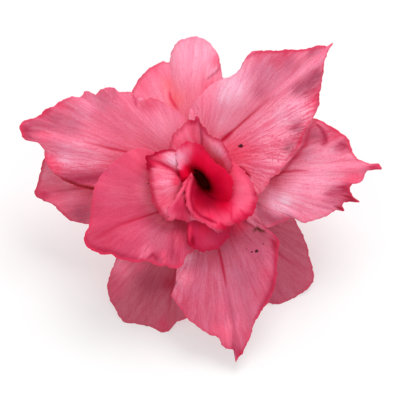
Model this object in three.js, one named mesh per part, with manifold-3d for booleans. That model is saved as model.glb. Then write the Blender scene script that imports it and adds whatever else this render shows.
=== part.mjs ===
// Desert rose bloom (Adenium obesum, triple-flowered), picked with its calyx and a short stalk.
// It lies on a table.
//
// Three funnel-shaped corollas nest in one another. Each grew as one piece: a tube that flares into
// five petals. The bloom is modelled in its own frame: +z is the flower's axis towards the viewer, and
// +y is the top of its face. A tilted group then lays it on the table, on its stalk and two of its
// back petals.
// All sizes are millimetres and all azimuths are degrees, counterclockwise from +x on the flower's face.
import * as THREE from "three";
import { mergeVertices } from "three/addons/utils/BufferGeometryUtils.js";
import Module from "manifold-3d";

const wasm = await Module();
wasm.setup();

// ---- Driving dimensions ----
const PETAL_THICKNESS = 0.7;
const PETAL_ROWS = 5; // steps from a petal's foot to its margin
const TUBE_SIDES = 24;
const CLEARANCE = 0.35; // between two pieces that touch

const STALK_END = -35; // level of the cut end, before the table flattens it
const STALK_RADIUS = 1.5;
const CUP_RADIUS = 3.7; // the calyx cup, which holds the outer tube's base
const CUP_TOP = -28.5;
const TUBE_BASE = -30;
const SEPAL_COUNT = 5;
const SEPAL_LENGTH = 9;
const SEPAL_WIDTH = 3.6;
const SEPAL_SPREAD = 24; // degrees that a sepal leans out from the axis
const SEPAL_ROOT_DEPTH = 1; // how far below the cup's rim a sepal is rooted

const AXIS_LEAN = 30; // degrees between the flower's axis and the vertical, as the bloom lies
const FLAT_SPOT = 0.5; // how deep the table flattens each low point

// ---- Petals ----
// foot: azimuths that the petal's foot covers on its corolla's throat
// rim: levels of its margin, evenly spaced from the clockwise end to the counterclockwise end
// belly: how far it bulges to the viewer halfway out, spaced the same way
// waves: how many times its margin waves
// outline: its margin on the flower's face, from the clockwise end to the counterclockwise end
const OUTER_PETALS = {
  top: {
    foot: [80, 148],
    rim: [-7, -9.5, -12, -10.5, -8],
    belly: [1, 3, 1.5],
    waves: 1,
    outline: [
      [4.5, 11.5], [7.2, 17], [6.4, 22], [4.8, 25.6], [4.3, 28.5], [3.2, 31.3], [0.8, 33.8], [-2, 34.5],
      [-5, 33.6], [-6.6, 31.8], [-7.8, 28.6], [-10.5, 28.1], [-14.1, 25.5], [-16.7, 21.3], [-17, 16.5],
      [-12.5, 10.5],
    ],
  },
  left: {
    foot: [152, 216],
    rim: [-7.5, -9, -11, -11, -8],
    belly: [1, 2.5, 1.5],
    waves: 2,
    outline: [
      [-12, 9], [-20, 12], [-28, 12.5], [-34, 9.5], [-37.4, 5.6], [-38.7, 0.8], [-39.6, -3.1],
      [-35.6, -5.2], [-31.7, -8.8], [-26.6, -10], [-20, -11.5], [-13, -9.5],
    ],
  },
  lower_left: {
    foot: [220, 284],
    rim: [-8, -13.8, -15.5, -12, -8],
    belly: [1, 2.5, 1.5],
    waves: 2,
    outline: [
      [-12, -9.5], [-17.5, -13.5], [-20.3, -17.9], [-22.4, -23.9], [-22.1, -27.4], [-20.3, -30.4],
      [-18.5, -33.3], [-14.9, -33.8], [-9.1, -35.7], [-7.9, -35.4], [-6.2, -33.5], [-3.7, -32.3],
      [1, -29], [4, -23], [4, -16], [3, -11.5],
    ],
  },
  lower_right: {
    foot: [286, 346],
    rim: [-8.5, -16, -19, -15, -8],
    belly: [1, 2.5, 1.5],
    waves: 2,
    outline: [
      [5, -12], [8.5, -19], [11.5, -25], [14.6, -28.2], [17.4, -29], [20.4, -28.4], [23.4, -26.6],
      [26.1, -24.3], [26.6, -21.8], [25.6, -17.6], [24.4, -13], [22.2, -8.2], [18, -4.5], [12, -2.5],
    ],
  },
  right: {
    foot: [2, 72],
    rim: [-7.5, -9, -11.5, -10, -7.5],
    belly: [1, 2, 1.5],
    waves: 2,
    outline: [
      [11.5, 2], [18, 2.5], [25, 5], [29.5, 8.8], [30, 12], [27, 15], [24.5, 20], [19.5, 24], [13.5, 25],
      [9, 21], [6, 12],
    ],
  },
};

const MIDDLE_PETALS = {
  right: {
    foot: [-26, 40],
    rim: [-1.5, -3.5, -5.5, -4.5, -1.5],
    belly: [0.5, 1.5, 0.5],
    waves: 3,
    outline: [
      [11, -8], [14.5, -10.8], [19.5, -9.2], [22.2, -8.3], [24, -9.7], [27, -8.8], [32.2, -6.3],
      [34, -6.8], [33.7, -5], [37.2, -4.9], [35, -2.2], [36.8, -0.7], [38.8, 1.6], [42.2, 3.4],
      [38.8, 4.3], [36.6, 6], [35.2, 8.9], [32.4, 12.3], [26.7, 15], [20.5, 16], [14.5, 13.5],
      [10.5, 8.5],
    ],
  },
  upper_right: {
    foot: [32, 96],
    rim: [1, 3.5, 1.5, 2, 0],
    belly: [1, 1.5, 1],
    waves: 2,
    outline: [
      [10.5, 2.5], [13.1, -2.2], [18, 1.7], [20.4, 4.4], [24, 9.2], [26.4, 15.3], [27.7, 19.5],
      [28.5, 24.9], [29.1, 29.1], [30.9, 32.7], [28.3, 32.1], [25.8, 31.8], [21, 31.3], [13.1, 31],
      [11, 30.2], [8.9, 26.7], [5.6, 24.6], [2.3, 23.1], [-0.1, 20.7], [-2.5, 17.7], [-2.6, 14],
    ],
  },
  left: {
    foot: [112, 180],
    rim: [-1.5, -1, -3, -3.5, -2],
    belly: [1, 2, 1],
    waves: 4,
    outline: [
      [-4, 12.5], [-6.7, 17.1], [-10.3, 19.2], [-13.4, 20.1], [-15.8, 19.4], [-16.7, 21.2], [-21.2, 22],
      [-26, 20.5], [-27.6, 21.1], [-32, 19.8], [-36.8, 17.1], [-39.9, 15], [-42, 14.7], [-43, 13],
      [-42.1, 10.2], [-39, 9.4], [-37.2, 6.6], [-36.5, 3.8], [-33.8, 1.1], [-29, -1.3], [-23, -2],
      [-15.5, -0.8],
    ],
  },
  lower_left: {
    foot: [184, 248],
    rim: [2, 5.5, 4, 3.5, 1],
    belly: [1.5, 3, 2],
    waves: 3,
    outline: [
      [-10.5, 5.5], [-12.5, 7.7], [-15.5, 7.9], [-18.6, 6.4], [-21.2, 4.4], [-23.9, 1.4], [-25.4, -1.6],
      [-26, -5.2], [-26.6, -10], [-27.7, -13.4], [-26.6, -16.1], [-24.8, -17], [-20.9, -17.5],
      [-17.6, -18.6], [-12.2, -19.2], [-10, -20], [-6.1, -20.3], [-4.4, -19], [-3.6, -16.4],
      [-2.6, -12.5],
    ],
  },
  lower: {
    foot: [252, 330],
    rim: [-1.5, -2.5, -6.5, -3, -0.5],
    belly: [1, 2, 1],
    waves: 3,
    outline: [
      [-3.8, -11.5], [-5.6, -17], [-6.1, -22.7], [-7.2, -26.8], [-5.5, -29.3], [-3.4, -32.3],
      [1.7, -36.1], [3.6, -36.6], [5, -38.8], [7.6, -40], [8, -42.9], [9.2, -40.9], [10.8, -37.8],
      [11.9, -34.7], [13.7, -31.1], [16.2, -27.5], [17.5, -23.3], [18.1, -14.2], [16.2, -11.8],
      [12.2, -10.6],
    ],
  },
};

// The heart: five short petals that stand up round the throat and roll outwards. Their feet lie on rings of
// their own radius, so that each wraps over the next.
const INNER_PETALS = {
  hood: {
    foot: [-48, 130],
    footRadii: [3.6, 4.4],
    rim: [6, 7.5, 8.5, 8.5, 7],
    belly: [0.5, 0.5, 0.5],
    waves: 1,
    outline: [
      [5.8, -4.7], [7.3, -1.6], [7.2, 0.3], [6.4, 2.5], [4.1, 3.9], [2.6, 5.6], [1.3, 7.3], [-0.1, 8.8],
      [-1.8, 9.4], [-3.5, 9.3], [-5.2, 8.4], [-5.8, 7.1],
    ],
  },
  top: {
    foot: [45, 140],
    footRadii: [5.2, 5.2],
    rim: [4, 4.5, 4.5, 4.5, 4],
    belly: [0.5, 0.5, 0.5],
    waves: 1,
    outline: [
      [6.9, 4.6], [6, 7.2], [4.7, 9.6], [1.8, 11.3], [0.4, 13.2], [-1.2, 15.3], [-2.8, 14.8],
      [-4.3, 13.4], [-6.1, 12], [-7.3, 9.7], [-7.6, 7.6],
    ],
  },
  left: {
    foot: [126, 206],
    footRadii: [4.4, 4.4],
    rim: [7, 6.5, 6.5, 6.5, 6],
    belly: [0.5, 1.5, 0.5],
    waves: 2,
    outline: [
      [-5.9, 7.1], [-8.1, 7.9], [-10.7, 7.2], [-13.5, 5.6], [-13.2, 3.9], [-12.5, 2.2], [-12.3, 0],
      [-12, -3], [-11.3, -5.3], [-9, -7.8], [-7, -7.6],
    ],
  },
  lower: {
    foot: [200, 300],
    footRadii: [4.6, 5],
    rim: [5.5, 5, 3.4, 3.4, 5],
    belly: [0.5, 2.5, 1.5],
    waves: 1,
    outline: [
      [-6.6, -5.6], [-8.2, -8.8], [-5.6, -9], [-3.9, -10], [-3.5, -12.1], [-3.3, -14], [-2.2, -15.6],
      [0.5, -16.4], [3.5, -15.8], [5.3, -14.3], [6.8, -11.5], [6.5, -8.5],
    ],
  },
  right: {
    foot: [195, 385],
    footRadii: [3.2, 4.8],
    rim: [4, 7, 7.5, 7, 6],
    belly: [0.5, 0.5, 0.5],
    waves: 1,
    outline: [
      [-3, -1.6], [-3, -3.4], [-2.6, -5.6], [-1.4, -7.3], [0.6, -9], [3.4, -10.6], [6, -10.5], [9, -9.6],
      [11.4, -8.1], [12.8, -5.6], [13, -3.2], [12.3, -1.1], [11, 1.2], [9.1, 2.9], [7.9, 4],
    ],
  },
};

// ---- Tubes: outside radius and level, from the base up to the flare that the petals grow from ----
const OUTER_TUBE = [
  [2.6, TUBE_BASE], [2.9, -24], [4.3, -20], [5.7, -16], [6.6, -12], [7.5, -9], [8.9, -7.4], [10.4, -6.9],
];
const MIDDLE_TUBE = [
  ...nested(OUTER_TUBE, [-19.5, -16]), [5.2, -12], [5.9, -8], [6.8, -4.8], [7.8, -3.3], [9.2, -2.6],
];
const INNER_TUBE = [...nested(MIDDLE_TUBE, [-17]), [3.4, -14], [4.1, -10], [4.5, -5], [4.8, -2], [5.4, 0]];

// Where each corolla's petals are rooted. The inner petals give their own radii.
const OUTER_RING = { radius: 8.8, level: -7.2 };
const MIDDLE_RING = { radius: 7.7, level: -3 };
const INNER_RING = { level: -2.5 };

// ---- Curves ----
// The value at share 0..1 of the way along evenly spaced values, on a smooth curve through them.
function along(values, share) {
  const at = Math.min(Math.max(share, 0), 1) * (values.length - 1);
  const k = Math.min(Math.floor(at), values.length - 2);
  const t = at - k;
  const [b, c] = [values[k], values[k + 1]];
  const a = values[k - 1] ?? b;
  const d = values[k + 2] ?? c;
  return b + 0.5 * t * (c - a + t * (2 * a - 5 * b + 4 * c - d + t * (3 * (b - c) + d - a)));
}

// A tube profile's radius at a level.
function radiusAt(profile, level) {
  const k = profile.findIndex(([, top]) => top >= level);
  if (k < 1) return profile[0][0];
  const [[r0, z0], [r1, z1]] = [profile[k - 1], profile[k]];
  return THREE.MathUtils.mapLinear(level, z0, z1, r0, r1);
}

// Profile points at the given levels, lying against the inside of the tube around them.
function nested(around, levels) {
  return levels.map((level) => [radiusAt(around, level) - PETAL_THICKNESS - CLEARANCE, level]);
}

function onRing(radius, azimuth, level) {
  const turn = THREE.MathUtils.degToRad(azimuth);
  return new THREE.Vector3(radius * Math.cos(turn), radius * Math.sin(turn), level);
}

// ---- Solids ----
function solidFrom(geometry) {
  geometry.deleteAttribute("normal");
  geometry.deleteAttribute("uv");
  const merged = mergeVertices(geometry, 1e-4);
  return new wasm.Manifold(
    new wasm.Mesh({
      numProp: 3,
      vertProperties: new Float32Array(merged.attributes.position.array),
      triVerts: new Uint32Array(merged.index.array),
    }),
  );
}

function geometryFrom(solid) {
  const mesh = solid.getMesh();
  const geometry = new THREE.BufferGeometry();
  geometry.setAttribute("position", new THREE.BufferAttribute(mesh.vertProperties, 3));
  geometry.setIndex(new THREE.BufferAttribute(mesh.triVerts, 1));
  return geometry;
}

// A profile of [radius, level] points turned about the flower's axis. It is closed, or ends on the axis.
function turned(profile, sides = TUBE_SIDES) {
  const points = profile.map(([radius, level]) => new THREE.Vector2(radius, level));
  return solidFrom(new THREE.LatheGeometry(points, sides).rotateX(Math.PI / 2));
}

// A tube with the given outside and a wall of even thickness, set off square to the profile.
function tube(outside) {
  const last = outside.length - 1;
  const inside = outside.map(([radius, level], i) => {
    const [r0, z0] = outside[Math.max(i - 1, 0)];
    const [r1, z1] = outside[Math.min(i + 1, last)];
    const slope = Math.hypot(r1 - r0, z1 - z0);
    const lift = i === 0 ? 0 : (PETAL_THICKNESS * (r1 - r0)) / slope;
    return [radius - (PETAL_THICKNESS * (z1 - z0)) / slope, level + lift];
  });
  return turned([...outside, ...inside.reverse(), outside[0]]);
}

// A sheet of points, column by column, made into a closed blade by thickening it both ways.
// Both faces are split into triangles alike.
function blade(sheet, thickness) {
  const lastColumn = sheet.length - 1;
  const lastRow = sheet[0].length - 1;
  const positions = [];
  for (const side of [0.5, -0.5])
    sheet.forEach((column, i) =>
      column.forEach((point, j) => {
        const across = sheet[Math.min(i + 1, lastColumn)][j].clone().sub(sheet[Math.max(i - 1, 0)][j]);
        const outwards = column[Math.min(j + 1, lastRow)].clone().sub(column[Math.max(j - 1, 0)]);
        const normal = outwards.cross(across).normalize();
        positions.push(...point.clone().addScaledVector(normal, side * thickness).toArray());
      }),
    );
  const back = sheet.length * sheet[0].length;
  const at = (i, j) => i * sheet[0].length + j;
  const index = [];
  const facet = (a, b, c) => index.push(a, b, c, back + a, back + c, back + b);
  const wall = (a, b) => index.push(a, b, back + b, a, back + b, back + a);
  for (let i = 0; i < lastColumn; i++) {
    for (let j = 0; j < lastRow; j++) {
      facet(at(i, j), at(i, j + 1), at(i + 1, j + 1));
      facet(at(i, j), at(i + 1, j + 1), at(i + 1, j));
    }
    wall(at(i, 0), at(i + 1, 0));
    wall(at(i + 1, lastRow), at(i, lastRow));
  }
  for (let j = 0; j < lastRow; j++) {
    wall(at(0, j + 1), at(0, j));
    wall(at(lastColumn, j), at(lastColumn, j + 1));
  }
  const geometry = new THREE.BufferGeometry();
  geometry.setAttribute("position", new THREE.Float32BufferAttribute(positions, 3));
  geometry.setIndex(index);
  return solidFrom(geometry);
}

// ---- Petals ----
const WAVE_HEIGHT = 0.45; // of a waved margin
const CREASE_DEPTH = 0.6; // of the crease along the mid-vein
const INNER_ROLL = 1.6; // an inner petal first rises and then rolls out, the more so the higher this is

// How far round its margin each point of an outline lies, from 0 to 1.
function sharesOf(outline) {
  const lengths = [0];
  for (let i = 1; i < outline.length; i++) {
    const [[x0, y0], [x1, y1]] = [outline[i - 1], outline[i]];
    lengths.push(lengths[i - 1] + Math.hypot(x1 - x0, y1 - y0));
  }
  return lengths.map((length) => length / lengths.at(-1));
}

// The petal's middle sheet, as columns that run from its foot to its margin.
function petalSheet(petal, ring) {
  const shares = sharesOf(petal.outline);
  const reach = petal.outline.map(([x, y]) => Math.hypot(x, y));
  const tip = reach.indexOf(Math.max(...reach));
  const radii = petal.footRadii ?? [ring.radius, ring.radius];
  const upright = Boolean(petal.footRadii);
  const roll = upright ? INNER_ROLL : 1;
  const climb = (out) => (upright ? Math.sin((out * Math.PI) / 2) : out);
  return petal.outline.map(([x, y], i) => {
    const share = shares[i];
    const foot = onRing(
      THREE.MathUtils.lerp(...radii, share),
      THREE.MathUtils.lerp(...petal.foot, share),
      ring.level,
    );
    const rim = along(petal.rim, share) + WAVE_HEIGHT * Math.sin(2 * Math.PI * petal.waves * share);
    const bulge = along(petal.belly, share) - (i === tip ? CREASE_DEPTH : 0);
    return Array.from({ length: PETAL_ROWS + 1 }, (_, j) => {
      const out = j / PETAL_ROWS;
      return new THREE.Vector3(
        THREE.MathUtils.lerp(foot.x, x, out ** roll),
        THREE.MathUtils.lerp(foot.y, y, out ** roll),
        THREE.MathUtils.lerp(foot.z, rim, climb(out)) + bulge * Math.sin(Math.PI * out),
      );
    });
  });
}

function corolla(profile, petals, ring) {
  return Object.values(petals).reduce(
    (whole, petal) => whole.add(blade(petalSheet(petal, ring), PETAL_THICKNESS)),
    tube(profile),
  );
}

// ---- Calyx, stalk and the parts in the throat ----
const SEPAL_SKIN = 0.2; // how deep a sepal's middle sheet lies under the cup's outside
const SEPAL_CURL = 0.5; // how far a sepal's edges turn in towards the tube
const SEPAL_SHAPE = [0.8, 1, 0.9, 0.62, 0.1]; // its width from root to tip, as shares of SEPAL_WIDTH

function sepal(azimuth) {
  const lean = THREE.MathUtils.degToRad(SEPAL_SPREAD);
  const root = CUP_RADIUS - SEPAL_SKIN;
  const sheet = [-0.5, 0, 0.5].map((across) =>
    SEPAL_SHAPE.map((width, j) => {
      const out = (SEPAL_LENGTH * j) / (SEPAL_SHAPE.length - 1);
      const curl = SEPAL_CURL * Math.abs(across) * width;
      return new THREE.Vector3(
        root + out * Math.sin(lean) - curl,
        across * width * SEPAL_WIDTH,
        CUP_TOP - SEPAL_ROOT_DEPTH + out * Math.cos(lean),
      ).applyAxisAngle(new THREE.Vector3(0, 0, 1), THREE.MathUtils.degToRad(azimuth));
    }),
  );
  return blade(sheet.reverse(), PETAL_THICKNESS);
}

function calyxAndStalk() {
  const floor = TUBE_BASE - CLEARANCE;
  const hole = radiusAt(OUTER_TUBE, CUP_TOP) + CLEARANCE;
  let green = turned(
    [
      [0, STALK_END], [STALK_RADIUS, STALK_END], [STALK_RADIUS, floor - 2.5],
      [CUP_RADIUS - 0.6, floor - 0.6], [CUP_RADIUS, floor + 0.6], [CUP_RADIUS, CUP_TOP],
      [hole, CUP_TOP], [hole, floor], [0, floor],
    ],
  );
  for (let k = 0; k < SEPAL_COUNT; k++) green = green.add(sepal(90 + (k * 360) / SEPAL_COUNT));
  return green;
}

// Ovary, style and the broad head that stands inside the cone of anthers.
const PISTIL = [
  [0, TUBE_BASE], [1.2, TUBE_BASE], [1.3, -28.2], [0.9, -26.6], [0.4, -25.6], [0.4, -18], [0.95, -17.2],
  [1, -15.6], [0.5, -14.9], [0, -14.9],
];
const PISTIL_SIDES = 12;

// Five anthers joined into a pointed cone, hollow underneath, set on the inner tube's base.
const ANTHER_SIDES = 10;
const ANTHER_SEAT = radiusAt(INNER_TUBE, -16.6) - PETAL_THICKNESS - CLEARANCE;
const ANTHER_CONE = [
  [0, -14.2], [1.3, -15], [1.4, -16.8], [ANTHER_SEAT, -16.8], [ANTHER_SEAT, -16.4], [2, -15.8],
  [1.6, -12.5], [0.9, -9.4], [0, -8.4],
];

// ---- The bloom, laid on the table ----
const outer = corolla(OUTER_TUBE, OUTER_PETALS, OUTER_RING);
const middle = corolla(MIDDLE_TUBE, MIDDLE_PETALS, MIDDLE_RING);
const inner = corolla(INNER_TUBE, INNER_PETALS, INNER_RING);
const pieces = {
  outer_corolla: { solid: outer, color: 0xe8809a, roughness: 0.6 },
  middle_corolla: { solid: middle, color: 0xf27c9c, roughness: 0.6 },
  inner_corolla: { solid: inner, color: 0xe63c64, roughness: 0.6 },
  anther_cone: { solid: turned(ANTHER_CONE, ANTHER_SIDES), color: 0xd9a86a, roughness: 0.7 },
  pistil: { solid: turned(PISTIL, PISTIL_SIDES), color: 0xb9c48a, roughness: 0.6 },
  calyx_and_stalk: { solid: calyxAndStalk(), color: 0x7d8a4e, roughness: 0.65 },
};

const lean = new THREE.Matrix4().makeRotationX(THREE.MathUtils.degToRad(AXIS_LEAN));
const lying = new THREE.Box3();
for (const { solid } of Object.values(pieces)) {
  const places = geometryFrom(solid).applyMatrix4(lean).attributes.position;
  lying.union(new THREE.Box3().setFromBufferAttribute(places));
}

const centre = lying.getCenter(new THREE.Vector3());
const bloom = new THREE.Group();
bloom.rotation.x = THREE.MathUtils.degToRad(AXIS_LEAN);
bloom.position.set(-centre.x, -centre.y, -lying.min.z - FLAT_SPOT);
bloom.updateMatrix();

// Everything below the table's surface, in the bloom's own frame.
const TABLE = { width: 200, depth: 20 };
const table = solidFrom(
  new THREE.BoxGeometry(TABLE.width, TABLE.width, TABLE.depth)
    .translate(0, 0, -TABLE.depth / 2)
    .applyMatrix4(bloom.matrix.clone().invert()),
);

for (const [name, { solid, color, roughness }] of Object.entries(pieces)) {
  const material = new THREE.MeshStandardMaterial({ color, roughness, metalness: 0 });
  const mesh = new THREE.Mesh(geometryFrom(solid.subtract(table)), material);
  mesh.name = name;
  bloom.add(mesh);
}

const part = new THREE.Group();
part.add(bloom);
export default part;
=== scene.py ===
"""Looks of a triple desert rose bloom that lies on a table, face up to the viewer.

The bloom has a frame of its own, in millimetres: u to the right and v up on its face, w along its axis
towards the viewer. Three corollas nest in one another, and each is a tube that flares into petals.
"""

import math

import bpy
import numpy as np
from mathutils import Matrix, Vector


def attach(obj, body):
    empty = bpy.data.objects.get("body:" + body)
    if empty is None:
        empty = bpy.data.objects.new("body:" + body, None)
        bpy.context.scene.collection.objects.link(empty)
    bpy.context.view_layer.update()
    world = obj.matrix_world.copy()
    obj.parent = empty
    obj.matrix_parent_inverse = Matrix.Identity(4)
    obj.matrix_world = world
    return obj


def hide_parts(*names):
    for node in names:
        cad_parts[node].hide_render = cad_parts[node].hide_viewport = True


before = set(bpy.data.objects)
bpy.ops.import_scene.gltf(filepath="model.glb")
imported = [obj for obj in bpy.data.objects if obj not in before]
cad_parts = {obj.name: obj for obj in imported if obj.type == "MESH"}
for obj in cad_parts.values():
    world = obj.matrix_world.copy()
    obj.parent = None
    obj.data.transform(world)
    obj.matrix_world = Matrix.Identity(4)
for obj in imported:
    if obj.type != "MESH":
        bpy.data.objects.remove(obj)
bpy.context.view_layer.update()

# ---- Where the bloom lies ----
MM = 0.001
AXIS_LEAN = math.radians(30)  # between the flower's axis and the vertical
BLOOM_AT = np.array([0.39868, -0.81765, 30.56089])  # its frame's origin, in millimetres
TABLE_GAP = 0.02  # between the table and what rests on it


def in_world(points):
    """Places of the bloom's frame in metres of the whole scene's, pressed flat where the table is."""
    u, v, w = np.moveaxis(np.asarray(points, float), -1, 0)
    c, s = math.cos(AXIS_LEAN), math.sin(AXIS_LEAN)
    placed = np.stack([u, v * c - w * s, v * s + w * c], -1) + BLOOM_AT
    placed[..., 2] = np.maximum(placed[..., 2], TABLE_GAP)
    return placed * MM


def put(name, data):
    """A new object in the scene."""
    thing = bpy.data.objects.new(name, data)
    bpy.context.collection.objects.link(thing)
    return thing


# ---- Camera, which looks along the flower's axis ----
FIELD = 94.4  # millimetres across the picture
FIELD_CENTRE = (-0.47, -4.25)
LENS, SENSOR = 1000, 36  # in millimetres: a long lens, so that nearer petals hardly look larger
camera = put("camera", bpy.data.cameras.new("camera"))
camera.data.lens, camera.data.sensor_width = LENS, SENSOR
camera.data.clip_start, camera.data.clip_end = 0.1, 100
camera.location = in_world((*FIELD_CENTRE, FIELD * LENS / SENSOR))
camera.rotation_euler = (AXIS_LEAN, 0, 0)
bpy.context.scene.camera = camera

# ---- Petals ----
# foot: the azimuths that a petal grows from, on its corolla's ring. In the heart it grows from radii and a
# level of its own (foot_radii, level), or from round the throat's slit, so many times as wide (slit).
# rim, edge and veined run evenly along the margin, from the foot's clockwise end to the other: the margin's
# levels, how strongly it is coloured, and how strongly the petal behind it is streaked.
# belly: how far the petal bulges to the viewer halfway out; waves: how often the margin waves
# outline: the margin on the flower's face; vein: the mid-vein; base: the colour under all others
# washes: soft patches of colour (u, v, radius, colour, strength): the petal's own colours, painted
# highlights, painted light on places that other petals shade, and painted shade where petals fold or hollow;
# swells: soft relief (u, v, radius, height)
# strokes: soft lines of colour and relief (path, width, colour, strength, depth), among them painted shade in
# creases and beside the margins of petals in front. A sixth value is 1 where a stroke lies only to the left
# of its path, and -1 only to its right, as for a painted shadow on one side of an edge.

# The petals' palette, from pale to deep. Its lighter steps also serve as painted highlights and painted
# light, and its mauve steps as painted shade as well as the petals' own mauve.
PALE = [(255, 222, 238), (255, 194, 218), (255, 172, 200), (255, 150, 180), (255, 130, 162),
        (253, 108, 142), (251, 90, 126), (249, 66, 106), (246, 40, 88), (244, 8, 64)]
WARM = (255, 118, 130)
MAUVE_AND_SHADE = [(232, 138, 162), (214, 118, 148), (206, 98, 128), (196, 84, 114), (182, 74, 104), (168, 60, 86)]
ROSE = [(238, 108, 142), (224, 86, 118), (218, 64, 100), (208, 44, 86), (188, 52, 88), (186, 30, 70)]
DEEP = [(228, 30, 76), (224, 0, 54), (204, 0, 46), (178, 8, 50), (156, 4, 40), (124, 0, 10)]
BROWN = (70, 26, 2)

OUTER_TOP = dict(
    foot=(80, 148), rim=(-7, -9.5, -12, -10.5, -8), belly=(1, 3, 1.5), edge=(0.25, 0.3, 0.2, 0.6, 0.7, 0.3),
    base=(250, 136, 164),
    outline=[
        (5.5, 12), (7.2, 17), (6.2, 22.5), (4.7, 25.6), (4.3, 28.5), (3.4, 31), (0.6, 33.9), (-1.9, 34.5),
        (-4.2, 34), (-6.1, 33), (-7.3, 30.6), (-7.9, 28.4), (-9.2, 28.6), (-11.5, 27.6), (-14.1, 25.5),
        (-16.7, 21.3), (-17.5, 17.5), (-16, 13), (-12, 9),
    ],
    washes=[
        (-1, 31, 8, PALE[2], 0.8), (-12, 26, 3.4, PALE[6], 0.85), (-11.5, 22, 3.6, PALE[3], 0.8),
        (-14.5, 22.5, 2, PALE[5], 0.6), (-8, 23, 1.8, WARM, 0.8), (-6.2, 19.6, 2.2, WARM, 0.9),
        (1.8, 21.8, 2, PALE[6], 0.85), (3.4, 29, 1.4, PALE[5], 0.7), (4.4, 27.6, 1.1, ROSE[2], 0.9),
    ],
    strokes=[
        ([(-7.7, 21.6), (-7.4, 19.8), (-6.6, 18.3), (-5.4, 17)], 0.4, DEEP[0], 0.9, 0.12),
        # a crease: painted shade in it and a painted highlight on the ridge beside it
        ([(0.9, 24), (2.3, 25.3), (4.4, 27.1)], 0.32, MAUVE_AND_SHADE[3], 0.8, 0.12),
        ([(1.4, 25.2), (2.6, 26.2), (3.8, 27.3)], 0.3, PALE[1], 0.6, -0.1),
    ],
    swells=[(-2, 28, 6, 1.0), (-12, 23, 4, -0.3)],
)
OUTER_LEFT = dict(
    foot=(152, 216), rim=(-7.5, -9, -11, -11, -8), belly=(1, 2.5, 1.5), waves=2,
    edge=(0.3, 0.5, 0.9, 0.9, 0.7, 0.4), vein=[(-12, 1), (-26, -1), (-39.4, -3)], base=(236, 106, 136),
    outline=[
        (-12, 9), (-20, 12), (-28, 12.5), (-34, 9.5), (-37.4, 5.6), (-38.7, 0.8), (-39.6, -3.1), (-38, -4.2),
        (-35.6, -5.2), (-31.7, -8.8), (-29, -9.7), (-26.6, -10), (-21, -11.5), (-14, -10.5), (-10, -8),
    ],
    washes=[
        (-36.8, 2, 2.8, MAUVE_AND_SHADE[0], 0.95), (-32, 0, 2.2, MAUVE_AND_SHADE[0], 0.9), (-34.4, -4, 2.4, PALE[5], 0.9),
        (-30.2, -3.4, 2.4, PALE[4], 0.9), (-28.6, -8, 3, MAUVE_AND_SHADE[4], 0.85), (-38, -3, 1.6, ROSE[3], 0.8),
    ],
)
OUTER_LOWER_LEFT = dict(
    foot=(220, 284), rim=(-8, -13.8, -15.5, -12, -8), belly=(1, 2.5, 1.5), waves=2,
    # base: darker than the upper outer petals', partly painted shade, as this petal lies under the others
    vein=[(-5, -15), (-6.1, -20.9), (-7.6, -28), (-8.5, -35.3)], base=(200, 92, 114),
    outline=[
        (-12, -9), (-17, -12), (-19.5, -15.5), (-20.3, -17.9), (-21.5, -21), (-22.4, -23.9), (-22.2, -27),
        (-20.5, -30.3), (-18.5, -33.3), (-16.6, -33.5), (-14.9, -33.9), (-12, -34.6), (-9.1, -35.7),
        (-7.9, -35.4), (-6.3, -33.5), (-3.7, -32.3), (1, -29), (4, -23), (4, -16), (2.5, -11),
    ],
    washes=[
        (-19, -20.5, 3.2, PALE[4], 0.95), (-14.5, -19.9, 1.8, ROSE[0], 0.85), (-20.5, -25, 3, ROSE[1], 0.7),
        (-12, -24, 3.4, MAUVE_AND_SHADE[5], 0.8), (-7.6, -24, 1.8, DEEP[4], 0.5), (-9, -34, 1.8, ROSE[2], 0.7),
    ],
)
OUTER_LOWER_RIGHT = dict(
    foot=(286, 346), rim=(-8.5, -16, -19, -15, -8), belly=(1, 2.5, 1.5), waves=2,
    # base: darker than the upper outer petals', partly painted shade, as this petal lies under the others
    edge=(0.4, 0.5, 0.4, 0.8, 0.7, 0.4), vein=[(10, -9), (18.6, -17.3), (26.1, -22.7)], base=(200, 92, 118),
    outline=[
        (3, -12), (8, -19), (11, -25), (14.5, -28.3), (17.4, -29), (20.4, -28.4), (23.4, -26.6),
        (26.1, -24.3), (26.6, -21.8), (25.6, -18), (24.9, -14.9), (23.2, -11), (21.6, -8.3), (19, -5),
        (14, -3), (10, -2),
    ],
    washes=[(17, -26, 4, MAUVE_AND_SHADE[4], 0.6)],
)
OUTER_RIGHT = dict(
    foot=(2, 72), rim=(-7.5, -9, -11.5, -10, -7.5), belly=(1, 2, 1.5), waves=2, edge=0.5,
    vein=[(9, 5), (18, 11), (28, 16)], base=(222, 104, 134),
    outline=[
        (10, 2), (18, 3), (24, 5.5), (29.5, 8.5), (30.5, 12), (27, 14), (24.5, 19), (20, 23.5), (14, 25),
        (9, 22.5), (7, 16), (5, 11),
    ],
)
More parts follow.
